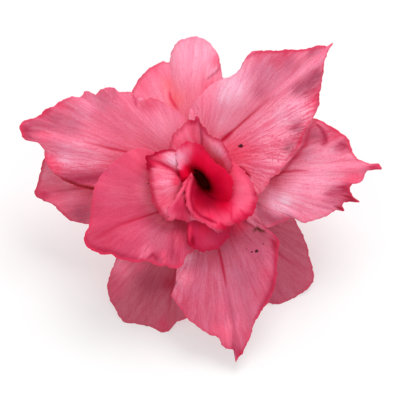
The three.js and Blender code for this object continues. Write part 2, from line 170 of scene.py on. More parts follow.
MIDDLE_RIGHT = dict(
    foot=(-26, 40), rim=(-1.5, -3.5, -5.5, -4.5, -1.5), belly=(0.5, 1.5, 0.5), waves=3,
    edge=(0.3, 0.4, 0.4, 0.5, 0.6, 0.6, 0.9, 0.9, 0.6, 0.4), vein=[(11, -1), (18.8, 2.3), (23.7, 2.7)],
    base=(248, 140, 170),
    outline=[
        (9, -6.5), (13.1, -10.9), (16, -10.6), (19.5, -9.2), (22.1, -8.2), (23.6, -9.6), (24.3, -9.8),
        (25.7, -9.2), (27.9, -8.7), (30.2, -7.6), (32, -6.6), (33.8, -6.8), (33.2, -5.6), (33.6, -4.8),
        (34.9, -4.7), (37.3, -4.8), (36.1, -3.7), (35.1, -2.2), (34.9, -1.3), (35.7, -0.5), (37, -0.3),
        (38, 0.5), (38.6, 1.7), (39.1, 2.7), (41.2, 3), (42.5, 3), (41.8, 4.3), (40.4, 4.2), (37.3, 5.3),
        (35.8, 6.7), (35.2, 8.7), (34.4, 10.4), (31.3, 12.7), (26.4, 15.2), (22, 16), (16, 14), (10, 10),
    ],
    # Among these: painted shade beside the upper right petal's margin and left of the pleat, painted
    # highlights on the white folds low down, and painted shade on the fold under the petal's lower part
    washes=[
        (24.4, 7, 2.4, MAUVE_AND_SHADE[1], 0.85), (26.5, 11, 1.8, MAUVE_AND_SHADE[2], 0.9), (17, -0.6, 1.8, ROSE[1], 0.7),
        (24.4, 10, 1.4, ROSE[1], 0.8), (22.4, 6.4, 1.2, ROSE[1], 0.7), (31.5, 11.8, 2.6, ROSE[2], 0.9),
        (27.6, 10.6, 1.6, MAUVE_AND_SHADE[3], 0.8), (33.4, 8.3, 1.4, ROSE[4], 0.85), (31.6, 7.9, 1.4, MAUVE_AND_SHADE[1], 0.7),
        (19.4, -4.8, 2.2, PALE[0], 1), (16.6, -3.4, 1.8, PALE[2], 1), (22.6, -1.5, 2, PALE[2], 0.8),
        (21.6, -6.6, 1.3, PALE[2], 0.7), (14.4, -4.9, 1.8, MAUVE_AND_SHADE[0], 0.8), (41.3, 3.6, 2, ROSE[3], 0.95),
        (35.8, 0.8, 2.4, PALE[6], 0.9), (35.4, -3.4, 2.2, DEEP[4], 1), (33.8, -1.6, 1.3, DEEP[3], 0.8),
        (31.4, -2.8, 2.2, MAUVE_AND_SHADE[3], 0.8), (33.6, -6.2, 1.4, DEEP[4], 1), (27, 1, 4, PALE[2], 0.7),
        (17.2, -5.6, 1.5, PALE[1], 0.8), (14.8, -9, 2.2, MAUVE_AND_SHADE[4], 0.9), (19.4, -9.2, 1.5, MAUVE_AND_SHADE[4], 0.7),
    ],
    strokes=[
        # painted shadow that the upper right petal's margin casts on this petal
        ([(27.4, 15.2), (25.3, 12.4), (24.5, 9.2), (21.9, 5.9), (19.2, 2.6), (16.6, 0.4)],
         0.5, ROSE[3], 0.85, 0.2),
        # the pleat and the dimple beside it: painted shade on one side of their folds
        ([(26.6, 14), (28.2, 12.4), (29.2, 10.8), (29.4, 9.4), (28.6, 8.8)], 0.5, ROSE[5], 1, -0.4, 1),
        ([(28.2, 13), (29.1, 11), (29, 9.6), (28.4, 8.4)], 0.8, ROSE[4], 0.9, 0.25, -1),
        ([(31.2, 8), (32.8, 9.3), (34.4, 8.7), (35.2, 7)], 0.9, ROSE[4], 0.8, 0.25, -1),
        ([(28.5, -3), (31.5, -2.7), (35.8, -2)], 0.8, ROSE[4], 0.7, 0.2),
        ([(14.6, 0.2), (18.8, 2.3), (22, 2.7), (25.4, 2.6)], 0.35, ROSE[2], 0.8, 0.1),
        ([(28, -4.4), (31, -4.8), (33.4, -5.8)], 0.4, MAUVE_AND_SHADE[3], 0.5, 0.1),
        # a crease: painted shade in it and a painted highlight on the ridge beside it
        ([(17, -4.5), (21, -6), (25, -8.6)], 0.5, ROSE[0], 0.5, 0.2),
        ([(18, -3.5), (23, -4.6), (28, -7)], 0.5, PALE[2], 0.5, -0.2),
        # painted shade on the fold under the petal's lower part
        ([(12.8, -4.8), (13.8, -7.2), (16, -9), (19.4, -9.7), (22.4, -9)], 1.5, MAUVE_AND_SHADE[4], 1, 0.3),
    ],
    swells=[(26, -5, 5, 0.8), (33.8, 8.4, 2, -0.9), (33, 3, 4, 0.7)],
)
MIDDLE_UPPER_RIGHT = dict(
    foot=(32, 96), rim=(1, 3.5, 1.5, 2, 0), belly=(1, 1.5, 1), waves=2,
    edge=(0.4, 0.45, 0.3, 0.3, 0.7, 0.8, 0.4, 0, 0), veined=(1, 1, 1, 0.6, 0.3, 0.3, 0.35, 0.4),
    vein=[(4.7, 9.8), (10, 14.5), (14.9, 18.9), (17.6, 21)], base=(246, 132, 162),
    outline=[
        (9, 1), (13.1, -2.9), (14.5, -1.9), (15.6, -0.5), (16.1, 0.9), (18.3, 2), (18.5, 3.1), (20, 4.4),
        (21.8, 6.8), (23.1, 8.3), (24.3, 11.9), (25.5, 14.2), (26.4, 15.5), (27.6, 18), (27.7, 20.1),
        (28.5, 24.9), (29.1, 29.1), (30, 31.2), (30.9, 32.7), (29.4, 32.1), (28.3, 32.3), (25.8, 31.8),
        (23.4, 31.2), (21, 31.3), (17.4, 31), (13.1, 31), (11.3, 30.5), (10.4, 29.4), (8.9, 26.7),
        (7.4, 25.2), (5.6, 24.6), (2.3, 23.1), (-0.1, 20.7), (-2.5, 17.7), (-3.1, 15.3),
    ],
    # Among these: the pale upper left and middle, partly the petal's own pale and partly painted highlight,
    # and painted shade in the hollow near the tip and on the fold low on the right
    washes=[
        (5.6, 20.6, 3.4, PALE[1], 1), (8, 22.6, 3.4, PALE[1], 0.9), (9.4, 25, 2.4, PALE[2], 0.8),
        (0.6, 19, 3, PALE[4], 0.8), (2.6, 22.4, 1.6, PALE[4], 0.7), (5, 14, 3, PALE[2], 0.9),
        (15.6, 25.5, 4, MAUVE_AND_SHADE[1], 0.9), (13.4, 21.4, 2, MAUVE_AND_SHADE[2], 0.75), (20.4, 28, 2.4, MAUVE_AND_SHADE[2], 0.8),
        (17.4, 28.8, 1.6, ROSE[1], 0.8), (13.6, 30.2, 1.4, ROSE[1], 0.8), (20, 30.6, 1.3, ROSE[2], 0.85),
        (26, 31, 1.6, MAUVE_AND_SHADE[2], 0.8), (22.8, 21.6, 2, MAUVE_AND_SHADE[4], 0.95), (25.4, 22.4, 2.6, MAUVE_AND_SHADE[4], 1),
        (27.4, 25, 2.2, MAUVE_AND_SHADE[4], 0.95), (27.6, 20.8, 1.6, ROSE[2], 0.9), (27, 18, 1.8, PALE[7], 0.9),
        (22.4, 17.2, 3, PALE[2], 0.9), (16.4, 12.6, 3, PALE[3], 0.8), (19, 15.4, 2, PALE[1], 0.8),
        (22.6, 12.6, 1.8, MAUVE_AND_SHADE[4], 0.85), (23.2, 9.4, 1.6, ROSE[1], 0.8), (20.8, 7.9, 1.4, MAUVE_AND_SHADE[5], 0.8),
        (8.5, 6.5, 4, PALE[6], 0.9), (16, 1.8, 1.6, PALE[3], 0.8),
    ],
    strokes=[
        # painted shadow in the gap under the heart's right petal's margin
        ([(8.9, 3.7), (9.8, 2.6), (11, 1.7), (11.5, 0.9)], 0.45, DEEP[3], 1, 0.2),
        ([(3.9, 9.1), (5.4, 10.4), (7.4, 12.2)], 0.55, DEEP[3], 0.95, 0.2),
        ([(25.4, 14.6), (24, 11.4), (22.2, 7.8), (19.6, 4.8)], 0.5, ROSE[3], 0.7, 0),
        ([(26.4, 15.6), (28, 20.4), (29.2, 27.6), (30.6, 32)], 0.5, MAUVE_AND_SHADE[4], 0.8, 0),
        # a ridge: a painted highlight along it
        ([(15.6, 19.6), (19, 22.4), (23.6, 26), (27, 28.4), (30.6, 31.8)], 1, PALE[3], 0.95, -0.3),
        ([(9, 28.5), (13, 30.6), (20, 30.9), (25, 31.2), (29, 31.8)], 0.5, ROSE[2], 0.8, 0),
    ],
    swells=[(8, 20, 5, 0.9), (24, 22.8, 4, -0.9), (23, 16.5, 4, 0.7), (17, 28, 3, -0.4)],
)
MIDDLE_LEFT = dict(
    foot=(112, 180), rim=(-1.5, -1, -3, -3.5, -2), belly=(1, 2, 1), waves=4,
    edge=(0, 0.3, 0.3, 0.4, 0.8, 0.5, 0.4, 0.3), veined=(0.05, 0.15, 0.35, 0.3, 0.4, 0.6, 0.5, 0.3),
    vein=[(-15.5, 6.4), (-17.9, 7.1), (-23.6, 8.4), (-28, 9.5)], base=(242, 116, 148),
    outline=[
        (-2.5, 9), (-3.4, 14.7), (-6.7, 17.1), (-10.3, 19.4), (-12.2, 19.9), (-13.3, 19.3), (-14.2, 20.4),
        (-15.2, 20.4), (-15.9, 19.2), (-16.3, 21), (-17.6, 21.3), (-19.8, 21.4), (-20.8, 22.2),
        (-22.3, 22.4), (-23.9, 21.8), (-25.2, 20.7), (-26.6, 21.4), (-27.8, 21.3), (-28.6, 20.2),
        (-31.2, 20.1), (-33.3, 19.2), (-35, 18), (-36.8, 17.3), (-38.1, 16.1), (-39.9, 15), (-42, 14.6),
        (-43.1, 13.2), (-42.9, 11.9), (-42.1, 10.2), (-39, 9.4), (-37.6, 8), (-37.1, 5.6), (-36.5, 3.8),
        (-33.8, 1.1), (-31.1, -0.4), (-29, -1.3), (-26, -1.9), (-20, -2), (-14, -1), (-9, 0),
    ],
    washes=[
        (-24.5, 19, 2.8, MAUVE_AND_SHADE[2], 0.8), (-21, 21.4, 1.4, MAUVE_AND_SHADE[2], 0.6), (-12.4, 18.4, 2.2, ROSE[2], 0.8),
        # the first two here: painted light where the heart shades this petal
        (-9, 12, 4.4, PALE[3], 1), (-15, 11, 3, PALE[4], 0.8), (-33.8, 18.6, 2, PALE[6], 0.9),
        (-27.6, 17.2, 2.8, PALE[3], 1), (-34.6, 14.8, 2.8, MAUVE_AND_SHADE[3], 0.9), (-30.6, 13.4, 2.8, MAUVE_AND_SHADE[2], 0.9),
        (-41.4, 12.4, 2.2, ROSE[4], 1), (-38, 15.8, 1.4, ROSE[3], 0.9), (-36.8, 17.2, 0.9, ROSE[5], 0.8),
        (-38.5, 12.6, 1.8, MAUVE_AND_SHADE[2], 0.8), (-37.6, 10.6, 1.4, PALE[6], 0.8), (-31.5, 6.4, 3.4, PALE[2], 1),
        (-25, 5.8, 3, PALE[3], 0.95), (-29, 7.6, 3, PALE[3], 0.8), (-35.8, 4.8, 1.8, PALE[6], 1),
        (-33.8, 3, 1.2, PALE[6], 0.9), (-27, 3.8, 2.2, PALE[3], 0.9), (-24, 2.6, 1.6, ROSE[0], 0.7),
    ],
    strokes=[
        ([(-40.5, 10.9), (-35, 10.6), (-29, 9.6)], 0.7, PALE[4], 0.7, -0.2),
        # the lower margin curling under: painted shade above it and in the curl
        ([(-34.6, 1), (-30, 0.7), (-24.6, 0.9), (-18, 1)], 1.7, ROSE[4], 0.95, 0.2),
        ([(-35, 2), (-33.9, 1.2), (-31.1, -0.1), (-29, -1), (-26, -1.6), (-18, -1.8)], 0.5, DEEP[5], 1, 0),
        # a small curled lip: painted shade in its notch and a painted highlight on its edge
        ([(-16.4, 20.6), (-15.7, 19), (-15.5, 17.6)], 0.3, ROSE[3], 0.8, 0.2),
        ([(-15.3, 19.4), (-14.4, 19.8), (-13.6, 19.4)], 0.4, PALE[3], 0.9, -0.2),
    ],
    swells=[(-29, 6, 5, 0.9), (-33, 14, 3.5, -0.9), (-27, 0.5, 3, -0.6), (-26, 17.5, 3, 0.6)],
)
MIDDLE_LOWER_LEFT = dict(
    foot=(184, 248), rim=(2, 5.5, 4, 3.5, 1), belly=(1.5, 3, 2), waves=3,
    edge=(0, 0, 0, 0.3, 0.7, 1, 1, 0.9, 0.7, 0.5), veined=(0.2, 0.2, 0.25, 0.3, 0.35, 0.35),
    vein=[(-7.5, -6), (-9.1, -6.7), (-19.4, -10), (-26, -13.6)], base=(228, 78, 116),
    outline=[
        (-8, 1), (-10.5, 6), (-12.5, 7.7), (-14.9, 8), (-17.6, 7.1), (-21.2, 4.4), (-23.9, 1.4),
        (-25.4, -1.6), (-26, -5.2), (-26.6, -10), (-27.5, -12.1), (-27.8, -14.3), (-26.4, -15.8),
        (-23.5, -17.1), (-21.4, -17.1), (-20.3, -17.8), (-17.6, -18.6), (-14.9, -19), (-12.9, -18.6),
        (-11.1, -19.6), (-9.9, -19.9), (-8.4, -19.7), (-7.6, -20.3), (-5.8, -20.3), (-4.6, -19.6),
        (-3.7, -17.2), (-2.2, -16.6), (-1, -14), (-1.5, -10),
    ],
    washes=[
        # the second: painted light where the heart's left petal shades this one
        (-14, 5, 4.5, PALE[6], 0.8), (-14, -2, 2.4, PALE[4], 1), (-8, 2, 4, PALE[6], 0.8),
        (-18.5, -3, 4, ROSE[1], 0.85), (-25, -6, 1.8, ROSE[2], 0.8), (-23, -13, 4, ROSE[2], 0.8),
        (-10.2, -13.2, 4.2, MAUVE_AND_SHADE[2], 0.8), (-5.6, -12.5, 2.4, ROSE[2], 0.85), (-7, -17.4, 2, ROSE[4], 0.7),
        (-13.2, -16.8, 1.5, PALE[4], 0.9), (-9, -17.7, 1.2, PALE[6], 0.95),
        (-10.8, -18.3, 1.0, ROSE[4], 0.6),
    ],
    strokes=[
        # painted light along the heart's edge, where its shadow falls on this petal
        ([(-13.6, 2.6), (-13.3, -2), (-12, -6), (-10, -9.4), (-6.6, -10.6)], 1.5, PALE[4], 0.9, 0),
        ([(-27.8, -12.6), (-27, -14.6), (-25, -15.9), (-21.4, -16.6), (-17.6, -18), (-14, -18.4)],
         0.9, ROSE[5], 0.75, 0.2),
        ([(-13, -18.2), (-11.6, -17), (-10.8, -18.4)], 0.5, ROSE[5], 0.8, 0.3),
        ([(-6.8, -12), (-7, -15), (-7.4, -18.5)], 0.5, ROSE[4], 0.6, 0.3),
    ],
    swells=[(-12.3, -16, 2, 0.6), (-9.2, -17, 1.6, 0.5), (-17.3, -14, 2.2, 0.5)],
)
MIDDLE_LOWER = dict(
    foot=(252, 330), rim=(-1.5, -2.5, -6.5, -3, -0.5), belly=(1, 2, 1), waves=3, edge=0.5,
    veined=(0.6, 0.5, 0.4, 0.3, 0.35, 0.4), vein=[(3.8, -15), (4.7, -19), (5.8, -24.4)],
    base=(222, 106, 138),
    outline=[
        (-3, -8), (-5, -15), (-6, -19), (-6.1, -22.7), (-6.3, -24.8), (-7.2, -26.8), (-5.5, -29.3),
        (-3.4, -32.3), (-0.7, -34.4), (1.7, -36.1), (3.6, -36.6), (4.7, -38.5), (5.6, -39.3), (7.6, -40),
        (8, -42.9), (8.6, -41.4), (9.6, -40.7), (10.4, -38.6), (11.6, -36.5), (11.9, -34.7), (13.7, -31.1),
        (16.2, -27.5), (17.5, -23.3), (17.7, -19.7), (18, -16.5), (18.3, -14.1), (17.4, -12.7),
        (15.9, -11.6), (13.1, -10.9), (11, -9.5),
    ],
    washes=[
        (-4.6, -22.5, 2.2, PALE[4], 1), (-6, -26.4, 1.5, ROSE[0], 0.9), (-3.6, -18, 1.6, PALE[2], 1),
        (-3, -29.6, 2.4, ROSE[1], 0.8), (4.4, -30, 1.8, ROSE[0], 0.8), (13.6, -17.6, 2, MAUVE_AND_SHADE[3], 0.7),
        (13.8, -13, 2, MAUVE_AND_SHADE[5], 0.9), (10.4, -22, 3.6, MAUVE_AND_SHADE[2], 0.85), (17.4, -15, 1.4, DEEP[4], 0.8),
        (15.4, -22, 1.8, ROSE[1], 0.8), (14.4, -27, 2, ROSE[1], 0.8), (4.6, -36, 3, PALE[5], 1),
        (7.4, -34, 1.8, PALE[4], 0.85), (10.6, -36, 1.6, ROSE[1], 0.8), (8.2, -40.4, 1.8, ROSE[4], 0.95),
        (3, -14.5, 2.4, MAUVE_AND_SHADE[3], 0.8), (7, -11, 3, ROSE[3], 0.85), (9, -10.4, 1.8, PALE[7], 0.8),
        (12, -13.2, 2.8, MAUVE_AND_SHADE[3], 0.85), (7.4, -22, 2.6, MAUVE_AND_SHADE[1], 0.5), (2.4, -18, 1.8, ROSE[1], 0.8),
    ],
    strokes=[
        ([(14.6, -11), (16.6, -11.8), (17.9, -13.4), (17.6, -17.5), (17.6, -21), (16.6, -25.5), (14, -30),
          (12.4, -33)], 0.9, ROSE[5], 0.9, 0),
        ([(3.5, -14), (4.6, -19), (5.8, -25)], 0.34, ROSE[5], 0.95, 0.1),
        # a painted highlight along the raised left margin
        ([(-3.2, -17), (-4.8, -19.4), (-5.6, -22.5), (-6.8, -26.2)], 0.45, PALE[3], 0.8, -0.2),
        ([(11.4, -37), (9.8, -39.8), (8.2, -42)], 0.4, ROSE[5], 0.7, 0),
        ([(6, -26), (7.2, -31), (7.8, -36), (8.1, -40)], 0.6, MAUVE_AND_SHADE[3], 0.6, 0.15),
        ([(12, -11.8), (12.7, -11.1), (13.1, -10.8), (13.8, -11.4), (15, -11.7)], 0.3, BROWN, 1, 0),
    ],
    swells=[(5, -37, 3, 0.6), (14, -25, 3, 0.6), (-4, -23, 3, 0.7), (8, -27, 3, -0.3)],
)

# Painted shade of the deep throat: a dark stroke that fades up its sides
THROAT_SHADE = ([(-1.5, 2.8), (0.05, 0.4), (2.2, -2.6)], 1.4, DEEP[5], 0.92, 0)

# The heart's petals stand up round the throat and roll outwards; HEART_FOLD is a fold at their lower left.
HEART_TOP = dict(
    foot=(24, 140), foot_radii=(5.2, 5.2), rim=(6.2, 6.3, 5.8, 5, 4.5, 4), belly=(0.5, 0.5, 0.5), edge=0.7,
    veined=0.5, base=(255, 112, 148),
    outline=[
        (6.9, 2.7), (7.1, 4.6), (6.3, 6.8), (4.8, 9.5), (1.7, 11.3), (0.6, 12.9), (-0.4, 14.1), (-0.7, 15.1),
        (-1.4, 15.3), (-1.9, 14.6), (-2.8, 14.8), (-4.3, 13.5), (-6.1, 12.1), (-7.5, 9.7), (-7.6, 7.6),
    ],
    washes=[
        (-1.7, 14.4, 1.3, ROSE[5], 0.9), (-1.4, 12.2, 1.2, ROSE[1], 0.6), (2.8, 9, 2.4, PALE[4], 0.8),
        # painted light where the hood's shadow falls on this petal
        (3.6, 7, 1.7, PALE[2], 1),
    ],
    strokes=[
        ([(-1, 14.8), (-0.2, 12.6), (0.1, 10), (0, 7.5)], 0.45, ROSE[4], 0.8, 0.25),
        ([(-0.6, 14.4), (1.2, 11.4), (4.8, 9.4)], 0.5, ROSE[4], 0.8, 0),
        ([(4.8, 9.4), (6.3, 6.8), (7.1, 4.4), (6.9, 2.8)], 0.35, ROSE[3], 0.7, 0),
    ],
)
HEART_LOWER = dict(
    foot=(236, 300), foot_radii=(4.9, 5), rim=(2.4, 3.4, 3.4, 4), belly=(1.5, 2.5, 1.5), edge=0.6,
    veined=0.2, base=(204, 36, 80),
    outline=[
        (-3, -9.4), (-3.5, -12.1), (-3.4, -14), (-2.5, -15.5), (-0.6, -16.2), (0.5, -16.4), (3.5, -15.8),
        (5.3, -14.3), (6.8, -11.5), (6.6, -9),
    ],
    washes=[
        (1.5, -13.6, 2.4, ROSE[2], 0.8), (-2.7, -13.6, 1.0, DEEP[3], 0.9), (0.5, -11, 1.6, PALE[8], 0.7),
        (-3, -11.4, 0.9, DEEP[0], 0.9),
    ],
    strokes=[
        # its curled left margin: a painted highlight on the curl and painted shade inside it
        ([(-2.6, -10.3), (-3, -12.4), (-2.8, -14.4)], 0.4, PALE[7], 0.8, -0.3),
        ([(-2.1, -12.6), (-2.2, -14.2), (-1.6, -15.2)], 0.5, DEEP[4], 0.8, 0.25),
    ],
)
HEART_FOLD = dict(
    foot=(156, 262), foot_radii=(2.2, 4.6), level=0.5, rim=(4.6, 5.4, 5.2, 4.4, 4.2), belly=(0.5, 1.5, 1.5),
    edge=(0.2, 0.3, 0.3, 0.5, 0.3), veined=0.3, base=(226, 52, 92),
    outline=[
        (-3, 1.6), (-3.9, 0.4), (-5.2, -1.9), (-6.9, -4.8), (-8.7, -7.5), (-8.7, -8.9), (-7.2, -9),
        (-5.6, -8.9), (-3.3, -9.4), (-1, -10.4), (1.5, -11.7), (4.7, -12.1), (5.2, -10.6),
    ],
    washes=[
        # the pale ones: partly painted light on places in the other heart petals' shade
        (-7.4, -7.8, 1.8, PALE[5], 0.9), (-4.5, -3.2, 1.3, PALE[6], 0.95), (-5.2, -6.4, 1.5, ROSE[3], 0.8),
        (-1.8, -9.2, 1.6, PALE[4], 1), (2.5, -11.4, 1.8, PALE[5], 1),
    ],
    strokes=[
        # ridges with painted highlights, and painted shade in the groove between them
        ([(-3.4, 1), (-4.8, -1.7), (-6.7, -4.8), (-8.3, -7.4)], 0.5, PALE[5], 0.85, -0.2),
        ([(-3, 0.4), (-3.4, -4), (-1.8, -8), (0.5, -10.2)], 0.4, PALE[7], 0.7, -0.3),
        ([(-3.3, -1), (-3.6, -4.6), (-2.7, -8)], 0.35, ROSE[5], 0.7, 0.12),
    ],
)
HEART_LEFT = dict(
    foot=(126, 206), foot_radii=(2.8, 3.1), level=-3, rim=(5, 6.6, 6.5, 6.5, 6), belly=(0, 1.2, 0.5),
    waves=2, edge=0.8, veined=0.7, vein=[(-12.4, 5.2), (-10, 4.8), (-7.6, 3.4), (-5.2, 1.4)],
    base=(247, 118, 148),
    outline=[
        (-5.8, 7.1), (-6.9, 7.8), (-8.1, 7.9), (-9.6, 7.3), (-10.7, 7.2), (-11.9, 6.5), (-13.5, 5.8),
        (-13.1, 5), (-13.3, 3.9), (-12.8, 3), (-12.5, 2.2), (-12.3, 0.1), (-12, -3), (-11.5, -5.3),
        (-10.3, -6.8), (-9.2, -8.1), (-8.6, -8.8), (-7.4, -8),
    ],
    washes=[
        (-2.6, 2.7, 1.7, DEEP[2], 1), (-10.2, 6.2, 1.3, PALE[7], 0.8), (-6.6, 5.2, 2.1, PALE[1], 1),
        (-10.6, 0, 1.6, PALE[6], 0.7), (-8.4, -0.6, 1.9, PALE[3], 0.9), (-9.6, -4.4, 1.8, PALE[6], 0.8),
        (-4.7, 1.6, 1.4, PALE[9], 1), (-6.2, 0, 0.9, PALE[7], 0.8), (-12.9, 5.2, 1.3, DEEP[3], 1),
        (-12.6, 3.8, 1.1, DEEP[4], 1), (-11.8, 4.4, 1, DEEP[0], 0.7),
    ],
    strokes=[
        ([(-13.8, 5.6), (-12, 6.3), (-10.2, 7), (-9.6, 7.1), (-8, 7.6), (-5.6, 7.2)],
         0.45, DEEP[3], 0.95, 0),
        ([(-13.3, 5.8), (-12.8, 4.8), (-12.9, 3.6), (-12.4, 2.4)], 0.65, DEEP[4], 0.95, 0),
        ([(-12.2, 0.5), (-11.7, -3), (-10.6, -5.8), (-8.8, -8)], 0.5, ROSE[2], 0.7, 0),
        ([(-12.4, 5), (-9.4, 4.1), (-7.2, 3), (-5, 1.4)], 0.7, DEEP[0], 0.75, 0.3),
    ],
    swells=[(-8.4, 5.4, 1.8, 0.6), (-9.8, -1, 2.2, 0.5)],
)
HEART_HOOD = dict(
    foot=(-80, 195), slit=(1, 1.25), rim=(1.5, 3.2, 6.3, 8, 8.5, 8.5, 8.5, 8.1, 7.4, 6.7, 5.7, 3),
    belly=(0.5, 0.5, 0.5), edge=(0, 0, 0.3, 0.4, 0.5, 0.6, 0.6, 0.4, 0, 0, 0), veined=0.12,
    base=(248, 14, 70),
    outline=[
        (2.6, -7), (4.6, -6.4), (6, -5), (6.8, -3.4), (7.3, -1.6), (7.2, 0.3), (6.2, 2.2), (4.1, 3.9),
        (2.2, 5.6), (1.2, 7.1), (0, 8.4), (-1.5, 9.2), (-3.3, 9.5), (-5, 8.7), (-5.9, 7.1), (-6.1, 5.4),
        (-5.7, 3.8), (-5.3, 2.2), (-5.1, 0.6), (-5.3, -1),
    ],
    washes=[
        (-5.4, 5.9, 2, PALE[1], 1), (-3.3, 7.6, 1.4, PALE[4], 0.9), (-4.3, 5, 1.3, PALE[4], 0.95),
        (-3.4, 3, 1.2, DEEP[1], 0.9), (-5.9, 3.6, 1.3, PALE[3], 0.95), (-4.6, 2, 1.1, DEEP[1], 0.95),
        (-4.9, 0, 1.3, DEEP[2], 0.95), (-2.6, 8.6, 1.3, PALE[6], 0.8), (-0.8, 7.8, 1.3, DEEP[0], 0.8),
        (4, 1, 2, DEEP[1], 0.9), (4, -2.4, 2.4, DEEP[2], 0.9), (-3.6, 1.6, 1.3, PALE[9], 0.9),
        (4.5, -5, 2.6, DEEP[1], 1),
    ],
    strokes=[
        THROAT_SHADE,
        ([(-2, 9.5), (0, 8.9), (1.4, 7.2), (2.8, 5.6), (4.2, 4)], 0.45, DEEP[3], 0.9, 0),
        ([(-5.6, 7.8), (-5.3, 6.4), (-5.4, 5)], 0.5, PALE[3], 0.8, -0.2),
    ],
)
HEART_RIGHT = dict(
    foot=(165, 385), slit=(1, 1.5), rim=(4, 6.5, 7, 7, 7, 6.5, 5), belly=(0.5, 0.5, 0.5),
    edge=(0.2, 0.3, 0.4, 0.6, 0.7, 0.5, 0.3), veined=0.2, base=(255, 92, 130),
    outline=[
        (-2.5, 2.3), (-3.3, 0.6), (-3.9, -2.4), (-3.8, -4.9), (-2.8, -7), (-1, -8.9), (1.4, -10.4),
        (4, -11.4), (5.8, -10.7), (8.3, -9.8), (11, -8.5), (12.3, -7), (12.9, -5.3), (13, -3.2),
        (12.3, -1.1), (11, 1.2), (9.6, 2.8), (8.6, 4), (7.4, 4.7), (6.4, 4.6),
    ],
    washes=[
        (2.2, -2.4, 4.6, DEEP[2], 1), (-1, -5, 2, DEEP[2], 0.9), (5, -4, 2.2, DEEP[2], 0.95),
        # the last two here darken towards the throat: partly painted shade of its depth
        (5, -4.8, 2.2, DEEP[1], 1), (1.6, -4.4, 2.6, DEEP[4], 0.95), (-1, -2.8, 1.8, DEEP[4], 0.95),
        (9.6, -1.5, 2.4, PALE[5], 0.9), (9.6, -5.6, 2.2, PALE[5], 0.8), (10.6, -8.2, 1.6, DEEP[0], 0.95),
        (8.4, -9.2, 1.3, DEEP[0], 0.85), (12.6, -5.8, 1.2, DEEP[0], 0.85), (4.4, -10.5, 1, PALE[8], 0.9),
        (5.4, -11.2, 0.7, DEEP[2], 0.9), (13, -2.8, 0.8, ROSE[5], 0.8), (2, -8.2, 1.2, PALE[8], 0.7),
    ],
    strokes=[
        THROAT_SHADE,
        # the lip's ridge: a painted highlight on it and painted shade in the groove beside it
        ([(-2.3, 2.2), (-3.1, -0.6), (-3.4, -3), (-3.1, -5.6), (-1.8, -8), (0.6, -9.8)],
         0.42, PALE[6], 0.95, -0.1),
        ([(-1.8, 1.4), (-2.4, -1.6), (-2.6, -4.2), (-1.9, -6.4), (-0.4, -8), (2.4, -9.4)],
         0.42, DEEP[3], 0.95, 0.15),
        ([(0.2, -8.2), (2.2, -9.2), (3.6, -9.7)], 0.36, DEEP[3], 0.95, 0.1),
        ([(6.6, -4.8), (6.9, -7), (6.9, -9.4)], 0.35, DEEP[0], 0.7, 0.15),
        ([(4.2, -9.6), (5.2, -10.6), (6.6, -10.4)], 0.3, DEEP[2], 0.8, 0.15),
        ([(9, -6.4), (10.2, -8.6)], 0.4, DEEP[0], 0.6, 0.15),
    ],
    swells=[(9, -2, 3, 0.5), (7, -8, 2.5, 0.4)],
)

OUTER = [OUTER_TOP, OUTER_LEFT, OUTER_LOWER_LEFT, OUTER_LOWER_RIGHT, OUTER_RIGHT]
MIDDLE = [MIDDLE_RIGHT, MIDDLE_UPPER_RIGHT, MIDDLE_LEFT, MIDDLE_LOWER_LEFT, MIDDLE_LOWER]
HEART = [HEART_TOP, HEART_LOWER, HEART_FOLD, HEART_LEFT, HEART_HOOD, HEART_RIGHT]

# (radius, level) of the ring that a corolla's petals grow from
OUTER_RING, MIDDLE_RING, HEART_RING = (8.8, -7.2), (7.7, -3), (4.4, -2.5)

# The throat's narrow end: its centre, its long way across the face, half its width and length, and its level
SLIT_AT, SLIT_TURN = (0.05, 0.35), math.radians(-53)
SLIT_WIDTH, SLIT_LENGTH, SLIT_LEVEL = 1.15, 2.85, -4

THICKNESS = 0.4  # of a petal
MARGIN_TAPER = 16  # the higher, the later a petal thins towards its margin
SIDE_TAPER = 0.02  # share of the margin on which a petal thins at either end
ROW_CROWDING = 1.35  # the higher, the closer a petal's rows towards its margin
WAVE_HEIGHT = 0.45
RELIEF_FADE = 0.3  # the lower, the later relief fades towards a petal's foot and margin
VEIN_WIDTH = 0.36
GROOVE, GROOVE_WIDTH = 0.14, 0.45  # of a mid-vein
FOLD, FOLD_WIDTH = 0.4, 3.5  # of the shallow valley along a mid-vein
CALM = 5.0  # a margin's notches are evened out over this width towards the petal's foot
CALM_POWER = 5  # the higher, the closer to the margin they end
HEART_ROLL = 1.6  # the higher, the later the heart's petals turn outwards
HEART_SCALE, HEART_TEETH, HEART_VEIN = 0.35, 1.7, 0.6  # relief, teeth and veins there against elsewhere
JAGS = ((3.7, 0.07), (1.9, 0.06), (1.15, 0.05))  # (wavelength, height) of a margin's irregular teeth
RUFFLES = ((9.5, 0.3, 3), (5.3, 0.16, 5), (2.9, 0.07, 9))  # (wavelength, height, how close to the margin)
RUFFLE_DRIFT, RUFFLE_DRIFT_LENGTH = 0.6, 7  # how unevenly the ruffles follow one another
FEATHERS = ((3.3, 0.5), (1.7, 0.35), (0.9, 0.25))  # (wavelength, reach) of the streaks that washes end in
FEATHER_SWAY, FEATHER_SWAYS = 0.3, 9  # how much that reach changes on the way out, and how often
STROKE_ENDS = 0.35  # a stroke's width and strength at its two ends, against its middle
STROKE_SHARP = 4  # how many times faster a one-sided stroke ends on its other side
PHASES = (0, 6.28)  # where a wave may begin
STREAK_TINT, BACK_TINT, SPECK_TINT = (255, 208, 226), (236, 150, 172), (46, 14, 18)
TUBE_VEINED = 0.5  # how strongly tubes are streaked
TUBE_ROUND = 8  # how many millimetres of streaks there are to a radian round a tube
NO_MARGIN, NO_SPOT = 50.0, 90.0  # too far off for a margin's colour or a speck


